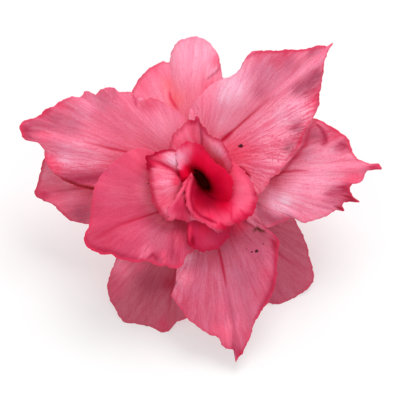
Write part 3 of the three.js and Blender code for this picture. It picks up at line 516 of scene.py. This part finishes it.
def along(values, share):
    """The values at shares 0..1 of the way along evenly spaced ones, on a smooth curve through them."""
    values = np.asarray(values, float)
    at = np.clip(share, 0, 1) * (len(values) - 1)
    k = np.minimum(at.astype(int), len(values) - 2)
    t = at - k
    b, c = values[k], values[k + 1]
    a = np.where(k > 0, values[np.maximum(k - 1, 0)], b)
    d = np.where(k + 2 < len(values), values[np.minimum(k + 2, len(values) - 1)], c)
    return b + 0.5 * t * (c - a + t * (2 * a - 5 * b + 4 * c - d + t * (3 * (b - c) + d - a)))


def smooth_curve(points, step):
    """Places about step apart on a smooth open curve through the given points."""
    p = np.asarray(points, float)
    p = np.vstack([2 * p[0] - p[1], p, 2 * p[-1] - p[-2]])
    knots = np.concatenate([[0], np.cumsum(np.linalg.norm(np.diff(p, axis=0), axis=1) ** 0.5)])
    curve = []
    for k in range(1, len(p) - 2):
        t0, t1, t2, t3 = knots[k - 1 : k + 3]
        count = max(1, round(float(np.linalg.norm(p[k + 1] - p[k])) / step))
        t = (t1 + (t2 - t1) * np.arange(count) / count)[:, None]
        a1 = ((t1 - t) * p[k - 1] + (t - t0) * p[k]) / (t1 - t0)
        a2 = ((t2 - t) * p[k] + (t - t1) * p[k + 1]) / (t2 - t1)
        a3 = ((t3 - t) * p[k + 1] + (t - t2) * p[k + 2]) / (t3 - t2)
        b1 = ((t2 - t) * a1 + (t - t0) * a2) / (t2 - t0)
        b2 = ((t3 - t) * a2 + (t - t1) * a3) / (t3 - t1)
        curve.append(((t2 - t) * b1 + (t - t1) * b2) / (t2 - t1))
    return np.vstack([*curve, p[-2:-1]])


def calmed(curve, run, width):
    """The curve with its wiggles evened out over a width; its two ends stay."""
    weights = np.exp(-(((run[:, None] - run[None, :]) / width) ** 2))
    even = weights @ curve / weights.sum(1)[:, None]
    keep = np.exp(-np.minimum(run, run[-1] - run) / width)[:, None]
    return even + (curve - even) * keep


def rightwards(curve):
    """Unit vectors to the right of a curve, at each of its places."""
    way = np.gradient(curve, axis=0)
    way /= np.linalg.norm(way, axis=1)[:, None]
    return np.stack([way[:, 1], -way[:, 0]], 1)


def uneven(run, waves, rng):
    """Waves of (wavelength, height) each along a run, one over the other, that begin by chance."""
    return sum(h * np.sin(2 * np.pi * run / length + rng.uniform(*PHASES)) for length, h in waves)


def from_path(path, x, y):
    """How far each place is from a path, on which side (1 left, -1 right) and how far along it, 0..1."""
    best = np.full(x.shape, 1e9)
    side, reached = np.ones(x.shape), np.zeros(x.shape)
    steps = np.hypot(*np.diff(np.asarray(path, float), axis=0).T)
    start = np.concatenate([[0], np.cumsum(steps)[:-1]])
    for (x0, y0), (x1, y1), step, before in zip(path[:-1], path[1:], steps, start):
        dx, dy = x1 - x0, y1 - y0
        t = np.clip(((x - x0) * dx + (y - y0) * dy) / step**2, 0, 1)
        d = np.hypot(x - x0 - t * dx, y - y0 - t * dy)
        nearer = d < best
        best = np.where(nearer, d, best)
        side = np.where(nearer, np.sign(dx * (y - y0) - dy * (x - x0)), side)
        reached = np.where(nearer, (before + t * step) / steps.sum(), reached)
    return best, side, reached


def falloff(d, width):
    """1 where d is 0, and less the further off, as a bell curve."""
    return np.exp(-((d / width) ** 2))


def stroke_mask(path, width, side, x, y):
    """1 on a stroke's path, less beside it; a stroke is narrower and fainter towards its two ends."""
    d, on, reached = from_path(path, x, y)
    body = STROKE_ENDS + (1 - STROKE_ENDS) * np.sin(np.pi * reached) ** 0.5
    near = falloff(d, width * body) * body
    return np.where(on == side, near, falloff(d, width / STROKE_SHARP) * body) if side else near


def linear(colour):
    """A colour of 0..255 steps as shares of light."""
    c = np.asarray(colour, float) / 255
    return np.where(c <= 0.04045, c / 12.92, ((c + 0.055) / 1.055) ** 2.4)


def by_level(levels, stops):
    """Colours at the given levels, between stops of (level, colour)."""
    at, colours = zip(*stops)
    return np.stack([np.interp(levels, at, part) for part in linear(colours).T], -1)


def tints_of(petal, strokes, x, y):
    """The petal's own colours: its base, then its washes and strokes one over the other."""
    washes = [
        (falloff(np.hypot(x - u, y - v), radius), colour, strength)
        for u, v, radius, colour, strength in petal.get("washes", ())
    ]
    tint = np.asarray(petal["base"], float)
    for mask, colour, strength, *_ in washes + strokes:
        tint = tint + strength * mask[..., None] * (np.asarray(colour) - tint)
    return linear(tint)


def vectors(*parts):
    """Three parts, which may be single numbers, as one vector for each place."""
    return np.stack(np.broadcast_arrays(*parts), -1)


def rounds(profile, turn):
    """Round rings of (radius, level) each."""
    radius, level = profile.T[..., None]
    return radius * np.cos(turn), radius * np.sin(turn), level


class Shell:
    """The vertices, faces and vertex attributes of a piece, gathered grid by grid."""

    def __init__(self):
        self.places, self.faces, self.values = [], [], {}
        self.count = 0

    def add(self, places, **values):
        """A grid of places as vertices; its values are per vertex. Gives the grid of their numbers."""
        shape = places.shape[:-1]
        numbers = self.count + np.arange(places[..., 0].size).reshape(shape)
        self.count += numbers.size
        self.places.append(places.reshape(-1, 3))
        for name, value in values.items():
            wide = np.broadcast_to(value, (*shape, 3)).reshape(-1, 3)
            self.values.setdefault(name, []).append(wide)
        return numbers

    def skin(self, numbers):
        """Faces between a grid's neighbours."""
        a, b = numbers[:-1, :-1], numbers[1:, :-1]
        c, d = numbers[1:, 1:], numbers[:-1, 1:]
        self.faces.append(np.stack([a, b, c, d], -1).reshape(-1, 4))

    def add_blade(self, sheet, half, spot, closed, **values):
        """A thin leaf, half its thickness to either side of a sheet: its front, its back and its margin.

        The margin goes round the foot too in a closed leaf. spot: where each place is, for specks to find.
        """
        normal = np.cross(np.gradient(sheet, axis=1), np.gradient(sheet, axis=0))
        normal /= np.maximum(np.linalg.norm(normal, axis=-1, keepdims=True), 1e-9)
        margins = []
        for side in (1, -1):
            numbers = self.add(
                sheet + side * half[..., None] * normal, face=vectors(*spot, max(side, 0)), **values
            )
            self.skin(numbers[::-side])
            margin = [numbers[0], numbers[1:-1, -1], numbers[-1][::-1]]
            if closed:
                margin += [numbers[-2:0:-1, 0], numbers[0, :1]]
            margins.append(np.concatenate(margin))
        self.skin(np.stack(margins, 1))

    def add_turned(self, profile, stops, sides=96, shape=rounds, seed=0):
        """A surface of rings round the flower's axis, coloured by level."""
        turn = np.linspace(0, 2 * np.pi, sides + 1)[:-1]
        x, y, z = shape(profile, turn)
        numbers = self.add(
            vectors(x, y, z), tint=by_level(profile[:, -1], stops)[:, None],
            grow=vectors(turn * TUBE_ROUND, z, seed), marks=(NO_MARGIN, 0, 0), face=(NO_SPOT, 0, 1),
            veined=TUBE_VEINED,
        )
        self.skin(np.hstack([numbers, numbers[:, :1]])[::-1])

    def piece(self, name, material, slot_name, node):
        """The finished object, which stands for the given CAD node."""
        mesh = bpy.data.meshes.new(name)
        mesh.from_pydata(in_world(np.vstack(self.places)).tolist(), [], np.vstack(self.faces).tolist())
        for attribute, grids in self.values.items():
            layer = mesh.attributes.new(attribute, "FLOAT_VECTOR", "POINT")
            layer.data.foreach_set("vector", np.vstack(grids).astype(np.float32).ravel())
        mesh.polygons.foreach_set("use_smooth", [True] * len(mesh.polygons))
        mesh.materials.append(material)
        mesh.update()
        thing = put(name, mesh)
        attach(thing, "root")
        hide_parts(node)


def foot_of(petal, ring, share):
    """Where a petal's foot lies and at which level."""
    start, end = petal["foot"]
    azimuth = np.radians(start + (end - start) * share)
    aim = np.stack([np.cos(azimuth), np.sin(azimuth)], 1)
    if "slit" in petal:
        turned = azimuth - SLIT_TURN
        oval = np.sqrt((np.cos(turned) / SLIT_LENGTH) ** 2 + (np.sin(turned) / SLIT_WIDTH) ** 2)
        return SLIT_AT + (along(petal["slit"], share) / oval)[:, None] * aim, SLIT_LEVEL
    radius = along(petal.get("foot_radii", (ring[0], ring[0])), share)
    return radius[:, None] * aim, petal.get("level", ring[1])


def on_margin(values, share):
    """One or more values of 0..1 spread along a margin."""
    return np.clip(along(np.resize(values, max(2, np.size(values))), share), 0, 1)[:, None]


def margin_of(petal, apart, teeth, rng):
    """A petal's outline as a curve with irregular teeth, and the run along it."""
    curve = smooth_curve(petal["outline"], apart)
    run = np.concatenate([[0], np.cumsum(np.linalg.norm(np.diff(curve, axis=0), axis=1))])
    return curve + teeth * uneven(run, JAGS, rng)[:, None] * rightwards(curve), run


def relief_of(petal, strokes, x, y, scale, vein_width):
    """How far swells, strokes and the mid-vein's valley raise a petal; and 1 on that vein, less beside it."""
    relief = -sum(depth * mask for mask, _, _, depth in strokes)
    for u, v, radius, height in petal.get("swells", ()):
        relief = relief + height * falloff(np.hypot(x - u, y - v), radius)
    if "vein" not in petal:
        return relief, 0
    d, _, reached = from_path(petal["vein"], x, y)
    fade = np.clip(2 - 2 * reached, 0, 1)  # out over the vein's last half
    valley = GROOVE * falloff(d, GROOVE_WIDTH) + scale * FOLD * falloff(d, FOLD_WIDTH)
    return relief - valley * fade, falloff(d, vein_width) * fade


def add_petal(shell, petal, ring, seed, apart, rows):
    """One petal: a thin blade with a tapered margin, from its foot on the throat to its outline."""
    rng = np.random.default_rng(seed)
    upright = "foot_radii" in petal or "slit" in petal
    scale, teeth, vein_scale = (HEART_SCALE, HEART_TEETH, HEART_VEIN) if upright else (1, 1, 1)
    curve, run = margin_of(petal, apart, teeth, rng)
    share = run / run[-1]
    foot, level = foot_of(petal, ring, share)
    out = 1 - (1 - np.linspace(0, 1, rows + 1)) ** ROW_CROWDING
    calm = calmed(curve, run, CALM * scale)
    goal = calm[:, None] + (curve - calm)[:, None] * (out**CALM_POWER)[:, None]
    reach = out ** (HEART_ROLL if upright else 1)
    x, y = np.moveaxis(foot[:, None] + (goal - foot[:, None]) * reach[:, None], -1, 0)
    strokes = [
        (stroke_mask(path, width, side, x, y), colour, strength, depth)
        for path, width, colour, strength, depth, *side in petal.get("strokes", ())
    ]

    rim = along(petal["rim"], share) + WAVE_HEIGHT * np.sin(2 * np.pi * petal.get("waves", 1) * share)
    climb = np.sin(out * np.pi / 2) if upright else out
    z = level + (rim - level)[:, None] * climb + along(petal["belly"], share)[:, None] * np.sin(np.pi * out)
    for length, height, power in RUFFLES:
        drift = RUFFLE_DRIFT * np.sin(run / RUFFLE_DRIFT_LENGTH)
        wave = np.sin(2 * np.pi * run / length + rng.uniform(*PHASES) + drift)
        z += scale * height * wave[:, None] * out**power
    relief, vein = relief_of(petal, strokes, x, y, scale, VEIN_WIDTH * vein_scale)
    z += relief * np.sin(np.pi * out) ** RELIEF_FADE

    ends = np.minimum(share, 1 - share) / SIDE_TAPER
    thin = np.sqrt(1 - out**MARGIN_TAPER) * np.sqrt(np.clip(ends, 0, 1))[:, None]
    length = np.linalg.norm(curve - foot, axis=1)[:, None]
    sway = (1 + FEATHER_SWAY * np.sin(out * FEATHER_SWAYS)) * scale * out
    feather = uneven(run, FEATHERS, rng)[:, None] * sway
    way = (curve - foot) / length
    shell.add_blade(
        np.stack([x, y, z], -1), THICKNESS / 2 * thin, (x, y), False,
        tint=tints_of(petal, strokes, x + feather * way[:, :1], y + feather * way[:, 1:]),
        grow=vectors(run[:, None], out * length, seed),
        marks=vectors((1 - out) * length, vein, on_margin(petal.get("edge", 0.4), share)),
        veined=on_margin(petal.get("veined", 0.4), share)[..., None],
    )


# ---- Materials ----
class Graph:
    """A material's nodes."""

    def __init__(self, name):
        self.material = bpy.data.materials.new(name)
        self.material.use_nodes = True
        self.tree = self.material.node_tree
        self.tree.nodes.clear()

    def node(self, kind, inputs, **settings):
        made = self.tree.nodes.new("ShaderNode" + kind)
        for key, value in settings.items():
            setattr(made, key, value)
        for key, value in inputs.items():
            if isinstance(value, bpy.types.NodeSocket):
                self.tree.links.new(value, made.inputs[key])
            else:
                made.inputs[key].default_value = value
        return made

    def attribute(self, name):
        return self.node("Attribute", {}, attribute_name=name).outputs["Vector"]

    def parts(self, vector):
        return self.node("SeparateXYZ", {0: vector}).outputs

    def math(self, operation, a, b, c=0.0, clamp=False):
        return self.node("Math", {0: a, 1: b, 2: c}, operation=operation, use_clamp=clamp).outputs[0]

    def remap(self, value, low, high, to_low=0.0, to_high=1.0):
        inputs = {"Value": value, "From Min": low, "From Max": high, "To Min": to_low, "To Max": to_high}
        return self.node("MapRange", inputs, interpolation_type="SMOOTHSTEP").outputs[0]

    def mix(self, factor, a, b, blend="MIX"):
        return self.node("Mix", {0: factor, 6: a, 7: b}, data_type="RGBA", blend_type=blend).outputs[2]

    def noise(self, vector, stretch, detail, roughness=0.5):
        """Noise whose size each way is one over the stretch."""
        stretched = self.node("VectorMath", {0: vector, 1: stretch}, operation="MULTIPLY").outputs[0]
        inputs = {"Vector": stretched, "Scale": 1.0, "Detail": detail, "Roughness": roughness}
        return self.node("TexNoise", inputs).outputs["Fac"]

    def bump(self, height, distance):
        return self.node("Bump", {"Strength": 0.5, "Distance": distance, "Height": height}).outputs[0]

    def surface(self, inputs):
        """The finished material, whose surface has these inputs."""
        self.node("OutputMaterial", {"Surface": self.node("BsdfPrincipled", inputs).outputs[0]})
        return self.material


def rgba(colour):
    return (*linear(colour), 1.0)


def petal_material(name, rim_colour, vein_colour, streaked, gloss=0.18, sheen=0.03, soft=0.25, specks=()):
    """Petal skin: its own tint, fine streaks that run outwards, a coloured margin, a vein and dark specks."""
    g = Graph(name)
    tint, grow, face = g.attribute("tint"), g.attribute("grow"), g.attribute("face")
    to_margin, vein, edge = g.parts(g.attribute("marks"))
    front, veined = g.parts(face)[2], g.parts(g.attribute("veined"))[0]

    warp = g.node("TexNoise", {"Vector": grow, "Scale": 0.35, "Detail": 1.0}).outputs["Color"]
    bent = g.node("VectorMath", {0: warp, 1: (1.6, 1.6, 0.0), 2: grow}, operation="MULTIPLY_ADD").outputs[0]
    streaks = g.noise(bent, (0.65, 0.1, 7.3), 4.0, 0.68)
    fibres = g.noise(bent, (1.7, 0.28, 3.1), 3.0, 0.7)
    grain = g.noise(face, (2.4, 2.4, 1.0), 2.0, 0.7)
    blotches = g.noise(grow, (0.22, 0.16, 5.7), 3.0, 0.6)
    dots = g.noise(face, (1.7, 1.7, 2.9), 1.0, 0.4)

    deeper = g.mix(1.0, tint, (0.88, 0.46, 0.56, 1), "MULTIPLY")
    mauve = g.mix(1.0, tint, (0.86, 0.7, 0.84, 1), "MULTIPLY")
    lightness = g.parts(tint)[1]
    paler = g.mix(g.math("MULTIPLY", lightness, 1.5, clamp=True), tint, rgba(STREAK_TINT))
    lined = g.math("MULTIPLY", veined, streaked)
    speckled = g.math("MULTIPLY_ADD", veined, 0.7 * streaked, 0.15)
    colour = tint
    for noise, none_at, most_at, most, share, other in (
        (streaks, 0.5, 0.62, 1.0, lined, deeper), (streaks, 0.48, 0.36, 0.9, lined, paler),
        (fibres, 0.51, 0.65, 1.0, lined, deeper), (fibres, 0.46, 0.32, 0.8, lined, paler),
        (grain, 0.52, 0.7, 0.6, speckled, deeper), (grain, 0.48, 0.3, 0.4, speckled, paler),
        (blotches, 0.5, 0.7, 0.25, streaked, mauve), (dots, 0.6, 0.7, 0.9, speckled, deeper),
    ):
        colour = g.mix(g.math("MULTIPLY", g.remap(noise, none_at, most_at, 0.0, most), share), colour, other)

    frayed = g.math("MULTIPLY_ADD", g.math("SUBTRACT", fibres, 0.5), 1.2, to_margin)
    rim = g.math("MULTIPLY", g.remap(frayed, 1.1, 0.15), edge)
    colour = g.mix(g.math("MULTIPLY", rim, 0.85), colour, rgba(rim_colour))
    colour = g.mix(g.math("MULTIPLY", vein, 0.9), colour, rgba(vein_colour))
    for u, v, radius in specks:
        off = g.node("VectorMath", {0: face, 1: (u, v, 1.0)}, operation="DISTANCE").outputs["Value"]
        off = g.math("MULTIPLY_ADD", g.math("SUBTRACT", dots, 0.5), 0.3, off)
        colour = g.mix(g.remap(off, radius * 1.25, radius * 0.65, 0.0, 0.95), colour, rgba(SPECK_TINT))
    back = g.mix(0.3, colour, rgba(BACK_TINT))

    ridges = g.math("MULTIPLY_ADD", fibres, 0.5, streaks)
    height = g.math("MULTIPLY_ADD", ridges, g.math("ADD", veined, 0.25), g.math("MULTIPLY", grain, 0.25))
    return g.surface({
        "Base Color": g.mix(front, back, colour), "Roughness": g.remap(streaks, 0.3, 0.7, 0.5, 0.62),
        "Normal": g.bump(height, 0.00022), "Specular IOR Level": gloss,
        "Sheen Weight": sheen, "Sheen Roughness": 0.4,
        "Subsurface Weight": soft, "Subsurface Radius": (1.0, 0.32, 0.3), "Subsurface Scale": 0.0004,
    })


def dusted_material(name, ribs, dust, depth, rough, finish):
    """Green parts, anthers and pistil: their own tint, ribbed lengthwise, under down or pollen.

    ribs and dust: the stretch of their noise, the part of it that shows and how strongly, and their colour.
    The ribs' last value is how that colour is mixed in.
    """
    g = Graph(name)
    tint, grow = g.attribute("tint"), g.attribute("grow")
    rib_stretch, rib_range, rib_colour, blend = ribs
    dust_stretch, dust_range, dust_colour = dust
    grain = g.noise(grow, dust_stretch, 2.0, 0.7)
    colour = g.mix(g.remap(g.noise(grow, rib_stretch, 3.0), *rib_range), tint, rib_colour, blend)
    colour = g.mix(g.remap(grain, *dust_range), colour, rgba(dust_colour))
    rough = g.remap(grain, 0.3, 0.7, *rough)
    return g.surface({"Base Color": colour, "Roughness": rough, "Normal": g.bump(grain, depth), **finish})


SPECKS = [
    (9.35, 8.5, 0.48), (8.75, 8.4, 0.2), (12.9, -16.3, 0.42), (11.8, -16.5, 0.22), (10.6, -15.8, 0.12),
    (14.4, -14.6, 0.2), (-12.7, -0.3, 0.2),
]
outer_skin = petal_material("outer_petal", (204, 52, 86), (186, 40, 74), streaked=0.8)
middle_skin = petal_material("middle_petal", (226, 46, 88), (212, 26, 70), streaked=1.2, specks=SPECKS)
heart_skin = petal_material(
    "inner_petal", (186, 10, 54), (214, 30, 76), streaked=0.9, gloss=0.06, sheen=0.0, soft=0.3
)
green_skin = dusted_material(
    "green_skin", ((0.9, 0.2, 3.0), (0.5, 0.72, 0.0, 0.6), rgba((150, 74, 70)), "MIX"),
    ((3.5, 3.5, 1.0), (0.55, 0.8, 0.0, 0.4), (190, 196, 150)), 0.00015, (0.6, 0.75),
    {"Specular IOR Level": 0.3, "Sheen Weight": 0.2},
)
anther_skin, pistil_skin = (
    dusted_material(
        name, ((1.2, 0.3, 2.0), (0.45, 0.75, 0.0, 0.5), (0.5, 0.35, 0.3, 1), "MULTIPLY"),
        ((5.0, 5.0, 1.0), (0.6, 0.8, 0.0, 0.3), pollen), 0.0001, (0.65, 0.8), {},
    )
    for name, pollen in (("anther_skin", (120, 60, 40)), ("pistil_skin", (226, 214, 150)))
)

# ---- Tubes: outside radius and level, from the base up to the flare ----
TUBE_WALL, TUBE_STEP = 0.35, 0.5
OUTER_TUBE = [(2.6, -30), (2.9, -24), (4.3, -20), (5.7, -16), (6.6, -12), (7.5, -9), (8.5, -7.6), (9.3, -7.2)]
MIDDLE_TUBE = [(3.42, -19.5), (4.65, -16), (5.2, -12), (5.9, -8), (6.8, -4.8), (7.6, -3.4), (8.2, -2.9)]
HEART_TUBE = [(3.25, -17), (3.4, -14), (4.1, -10), (4.5, -5), (4.8, -2.6)]
OUTER_TUBE_TINTS = [(-30, (214, 196, 130)), (-26, (226, 170, 130)), (-20, (232, 130, 140)),
                    (-8, (226, 104, 134))]
INSIDE_TUBE_TINTS = [(-20, (228, 160, 150)), (-10, (230, 90, 120)), (-3, (236, 84, 116))]

# The heart's lining: (length and width against the slit's, level), from its rim down into the dark
LINING = [(1.5, 4.8, -3.2), (1.2, 2.6, -3.6), (1.02, 1.05, -4), (0.95, 0.9, -4.6), (0.6, 0.5, -5.2),
          (0.02, 0.02, -5.3)]
# Crimson at the rim, darkening to brown down the throat: painted shade of its depth
LINING_TINTS_AND_SHADE = [(-5.3, (120, 24, 16)), (-4.6, (130, 20, 14)), (-4.1, (110, 6, 10)), (-3.8, (150, 0, 22)),
                (-3.5, (226, 2, 58)), (-3, (240, 4, 66))]


def slit_rings(profile, turn):
    """Rings like the slit, of (length, width, level) each."""
    longer, wider, level = profile.T[..., None]
    a, b = longer * SLIT_LENGTH * np.cos(turn), wider * SLIT_WIDTH * np.sin(turn)
    c, s = math.cos(SLIT_TURN), math.sin(SLIT_TURN)
    return SLIT_AT[0] + a * c - b * s, SLIT_AT[1] + a * s + b * c, level


def corolla(petals, ring, tube, tube_tints, apart, rows, seeds):
    """A corolla's petals and its tube; seeds are the first petal's and the tube's."""
    shell = Shell()
    for k, petal in enumerate(petals):
        add_petal(shell, petal, ring, seeds[0] + k, apart, rows)
    outside = smooth_curve(tube, TUBE_STEP)
    inside = outside - TUBE_WALL * rightwards(outside)
    shell.add_turned(np.vstack([outside, inside[::-1], outside[:1]]), tube_tints, seed=seeds[1])
    return shell


outer = corolla(OUTER, OUTER_RING, OUTER_TUBE, OUTER_TUBE_TINTS, apart=0.6, rows=52, seeds=(11, 31))
outer.piece("outer_corolla_skin", outer_skin, "outer_petals", "outer_corolla")
middle = corolla(MIDDLE, MIDDLE_RING, MIDDLE_TUBE, INSIDE_TUBE_TINTS, apart=0.55, rows=56, seeds=(21, 32))
middle.piece("middle_corolla_skin", middle_skin, "middle_petals", "middle_corolla")
heart = corolla(HEART, HEART_RING, HEART_TUBE, INSIDE_TUBE_TINTS, apart=0.25, rows=40, seeds=(41, 33))
heart.add_turned(smooth_curve(LINING, 0.3), LINING_TINTS_AND_SHADE, shape=slit_rings, seed=77)
heart.piece("inner_corolla_skin", heart_skin, "inner_petals", "inner_corolla")

# ---- Anthers and pistil: radius and level, from end to end ----
ANTHERS = [(0.02, -8.4), (0.5, -8.9), (0.9, -9.8), (1.6, -12.5), (2, -15.6), (2.1, -16.5), (1.4, -16.8),
           (1.2, -15.4)]
ANTHER_TINTS = [(-17, (196, 140, 96)), (-12, (120, 44, 40)), (-8, (30, 2, 6))]
ANTHER_COUNT, ANTHER_GROOVE = 5, 0.12
PISTIL = [(0.02, -29.9), (1.1, -29.9), (1.25, -28.2), (0.9, -26.6), (0.42, -25.4), (0.4, -18.2), (0.9, -17.2),
          (0.95, -15.7), (0.5, -15), (0.02, -14.95)]
PISTIL_TINTS = [(-30, (150, 170, 96)), (-15, (206, 206, 150))]


def lobed(profile, turn):
    """Rings grooved between the anthers."""
    x, y, level = rounds(profile, turn)
    wide = 1 - ANTHER_GROOVE * (0.5 + 0.5 * np.cos(ANTHER_COUNT * turn)) ** 3
    return x * wide, y * wide, level


anthers = Shell()
anthers.add_turned(smooth_curve(ANTHERS, 0.2), ANTHER_TINTS, 80, lobed)
anthers.piece("anthers_skin", anther_skin, "anthers", "anther_cone")

pistil = Shell()
pistil.add_turned(smooth_curve(PISTIL, 0.25), PISTIL_TINTS, 48)
pistil.piece("pistil_skin", pistil_skin, "pistil", "pistil")

# ---- Calyx and stalk ----
STALK = [(0.02, -34.95), (0.9, -34.95), (1.38, -34.9), (1.5, -34.6), (1.48, -33.6), (1.6, -32.8),
         (2.5, -31.6), (3.2, -30.7), (3.62, -29.8), (3.7, -29.1), (3.66, -28.6), (3.45, -28.5),
         (3.05, -28.6), (2.95, -29.6)]
STALK_TINTS = [(-34.96, (190, 186, 130)), (-34.8, (112, 122, 70)), (-30, (118, 130, 72)),
               (-28.5, (140, 132, 80))]
SEPAL_COUNT, SEPAL_LENGTH, SEPAL_WIDTH = 5, 9, 3.6
SEPAL_SPREAD = math.radians(24)
SEPAL_ROOT = (3.5, -29.5)
SEPAL_SHAPE = (0.8, 1, 0.9, 0.62, 0.1)  # its width from root to tip
SEPAL_KEEL, SEPAL_HOLLOW = 0.5, 0.8  # how far its sides stand back from its keel, straight and curved
SEPAL_WAVE = 0.06
SEPAL_THICKNESS = 0.55
SEPAL_SIDE_TAPER, SEPAL_TIP_TAPER = 8, 12  # the higher, the later it thins
SEPAL_TINTS = [(-30, (122, 134, 76)), (-25, (132, 136, 78)), (-21.3, (158, 96, 76))]


def add_sepal(shell, azimuth, seed):
    """A narrow pointed leaf that stands against the tube, keeled down its back."""
    across = np.linspace(-0.5, 0.5, 25)[:, None]
    out = np.linspace(0, 1, 33)
    width = along(SEPAL_SHAPE, out)
    keel = SEPAL_KEEL * np.abs(across) * width + SEPAL_HOLLOW * (across * width) ** 2
    x = SEPAL_ROOT[0] + SEPAL_LENGTH * out * math.sin(SEPAL_SPREAD) - keel
    y = across * width * SEPAL_WIDTH + SEPAL_WAVE * np.sin(9 * out + 3 * across)
    z = SEPAL_ROOT[1] + SEPAL_LENGTH * out * math.cos(SEPAL_SPREAD)
    c, s = math.cos(azimuth), math.sin(azimuth)
    thin = np.sqrt(1 - (2 * across) ** SEPAL_SIDE_TAPER) * np.sqrt(1 - out**SEPAL_TIP_TAPER)
    shell.add_blade(
        vectors(x * c - y * s, x * s + y * c, z), SEPAL_THICKNESS / 2 * thin, (NO_SPOT, 0), True,
        tint=by_level(z, SEPAL_TINTS), grow=vectors(y * 2, z, seed), marks=(NO_MARGIN, 0, 0),
        veined=TUBE_VEINED,
    )


green = Shell()
green.add_turned(smooth_curve(STALK, 0.25), STALK_TINTS, 72)
for k in range(SEPAL_COUNT):
    add_sepal(green, math.radians(90 + 360 * k / SEPAL_COUNT), 51 + k)
green.piece("calyx_skin", green_skin, "green_parts", "calyx_and_stalk")

# ---- Table and light, in metres ----
TABLE_REACH = 15
TABLE_CORNERS = [(x * TABLE_REACH, y * TABLE_REACH, 0) for x, y in ((-1, -1), (1, -1), (1, 1), (-1, 1))]
table_mesh = bpy.data.meshes.new("table")
table_mesh.from_pydata(TABLE_CORNERS, [], [(0, 1, 2, 3)])
table = put("table", table_mesh)
table_mesh.materials.append(Graph("table").surface({
    "Base Color": (0.6, 0.6, 0.6, 1), "Roughness": 0.8, "Specular IOR Level": 0.2,
    "Emission Color": (1, 1, 1, 1), "Emission Strength": 0.4,
}))

SKY_POWER = 0.72
world = bpy.data.worlds.new("studio")
bpy.context.scene.world = world
world.use_nodes = True
background = world.node_tree.nodes["Background"].inputs
background["Color"].default_value = (1, 1, 1, 1)
background["Strength"].default_value = SKY_POWER

KEY_AT, KEY_SIZE, KEY_POWER = (0.14, 0.22, 0.75), 0.4, 2.6
lamp = bpy.data.lights.new("key", "AREA")
lamp.size, lamp.energy = KEY_SIZE, KEY_POWER
key = put("key", lamp)
key.location = KEY_AT
key.rotation_euler = Vector(KEY_AT).to_track_quat("Z", "Y").to_euler()
key.visible_camera = False

bpy.context.scene.view_settings.view_transform = "Standard"
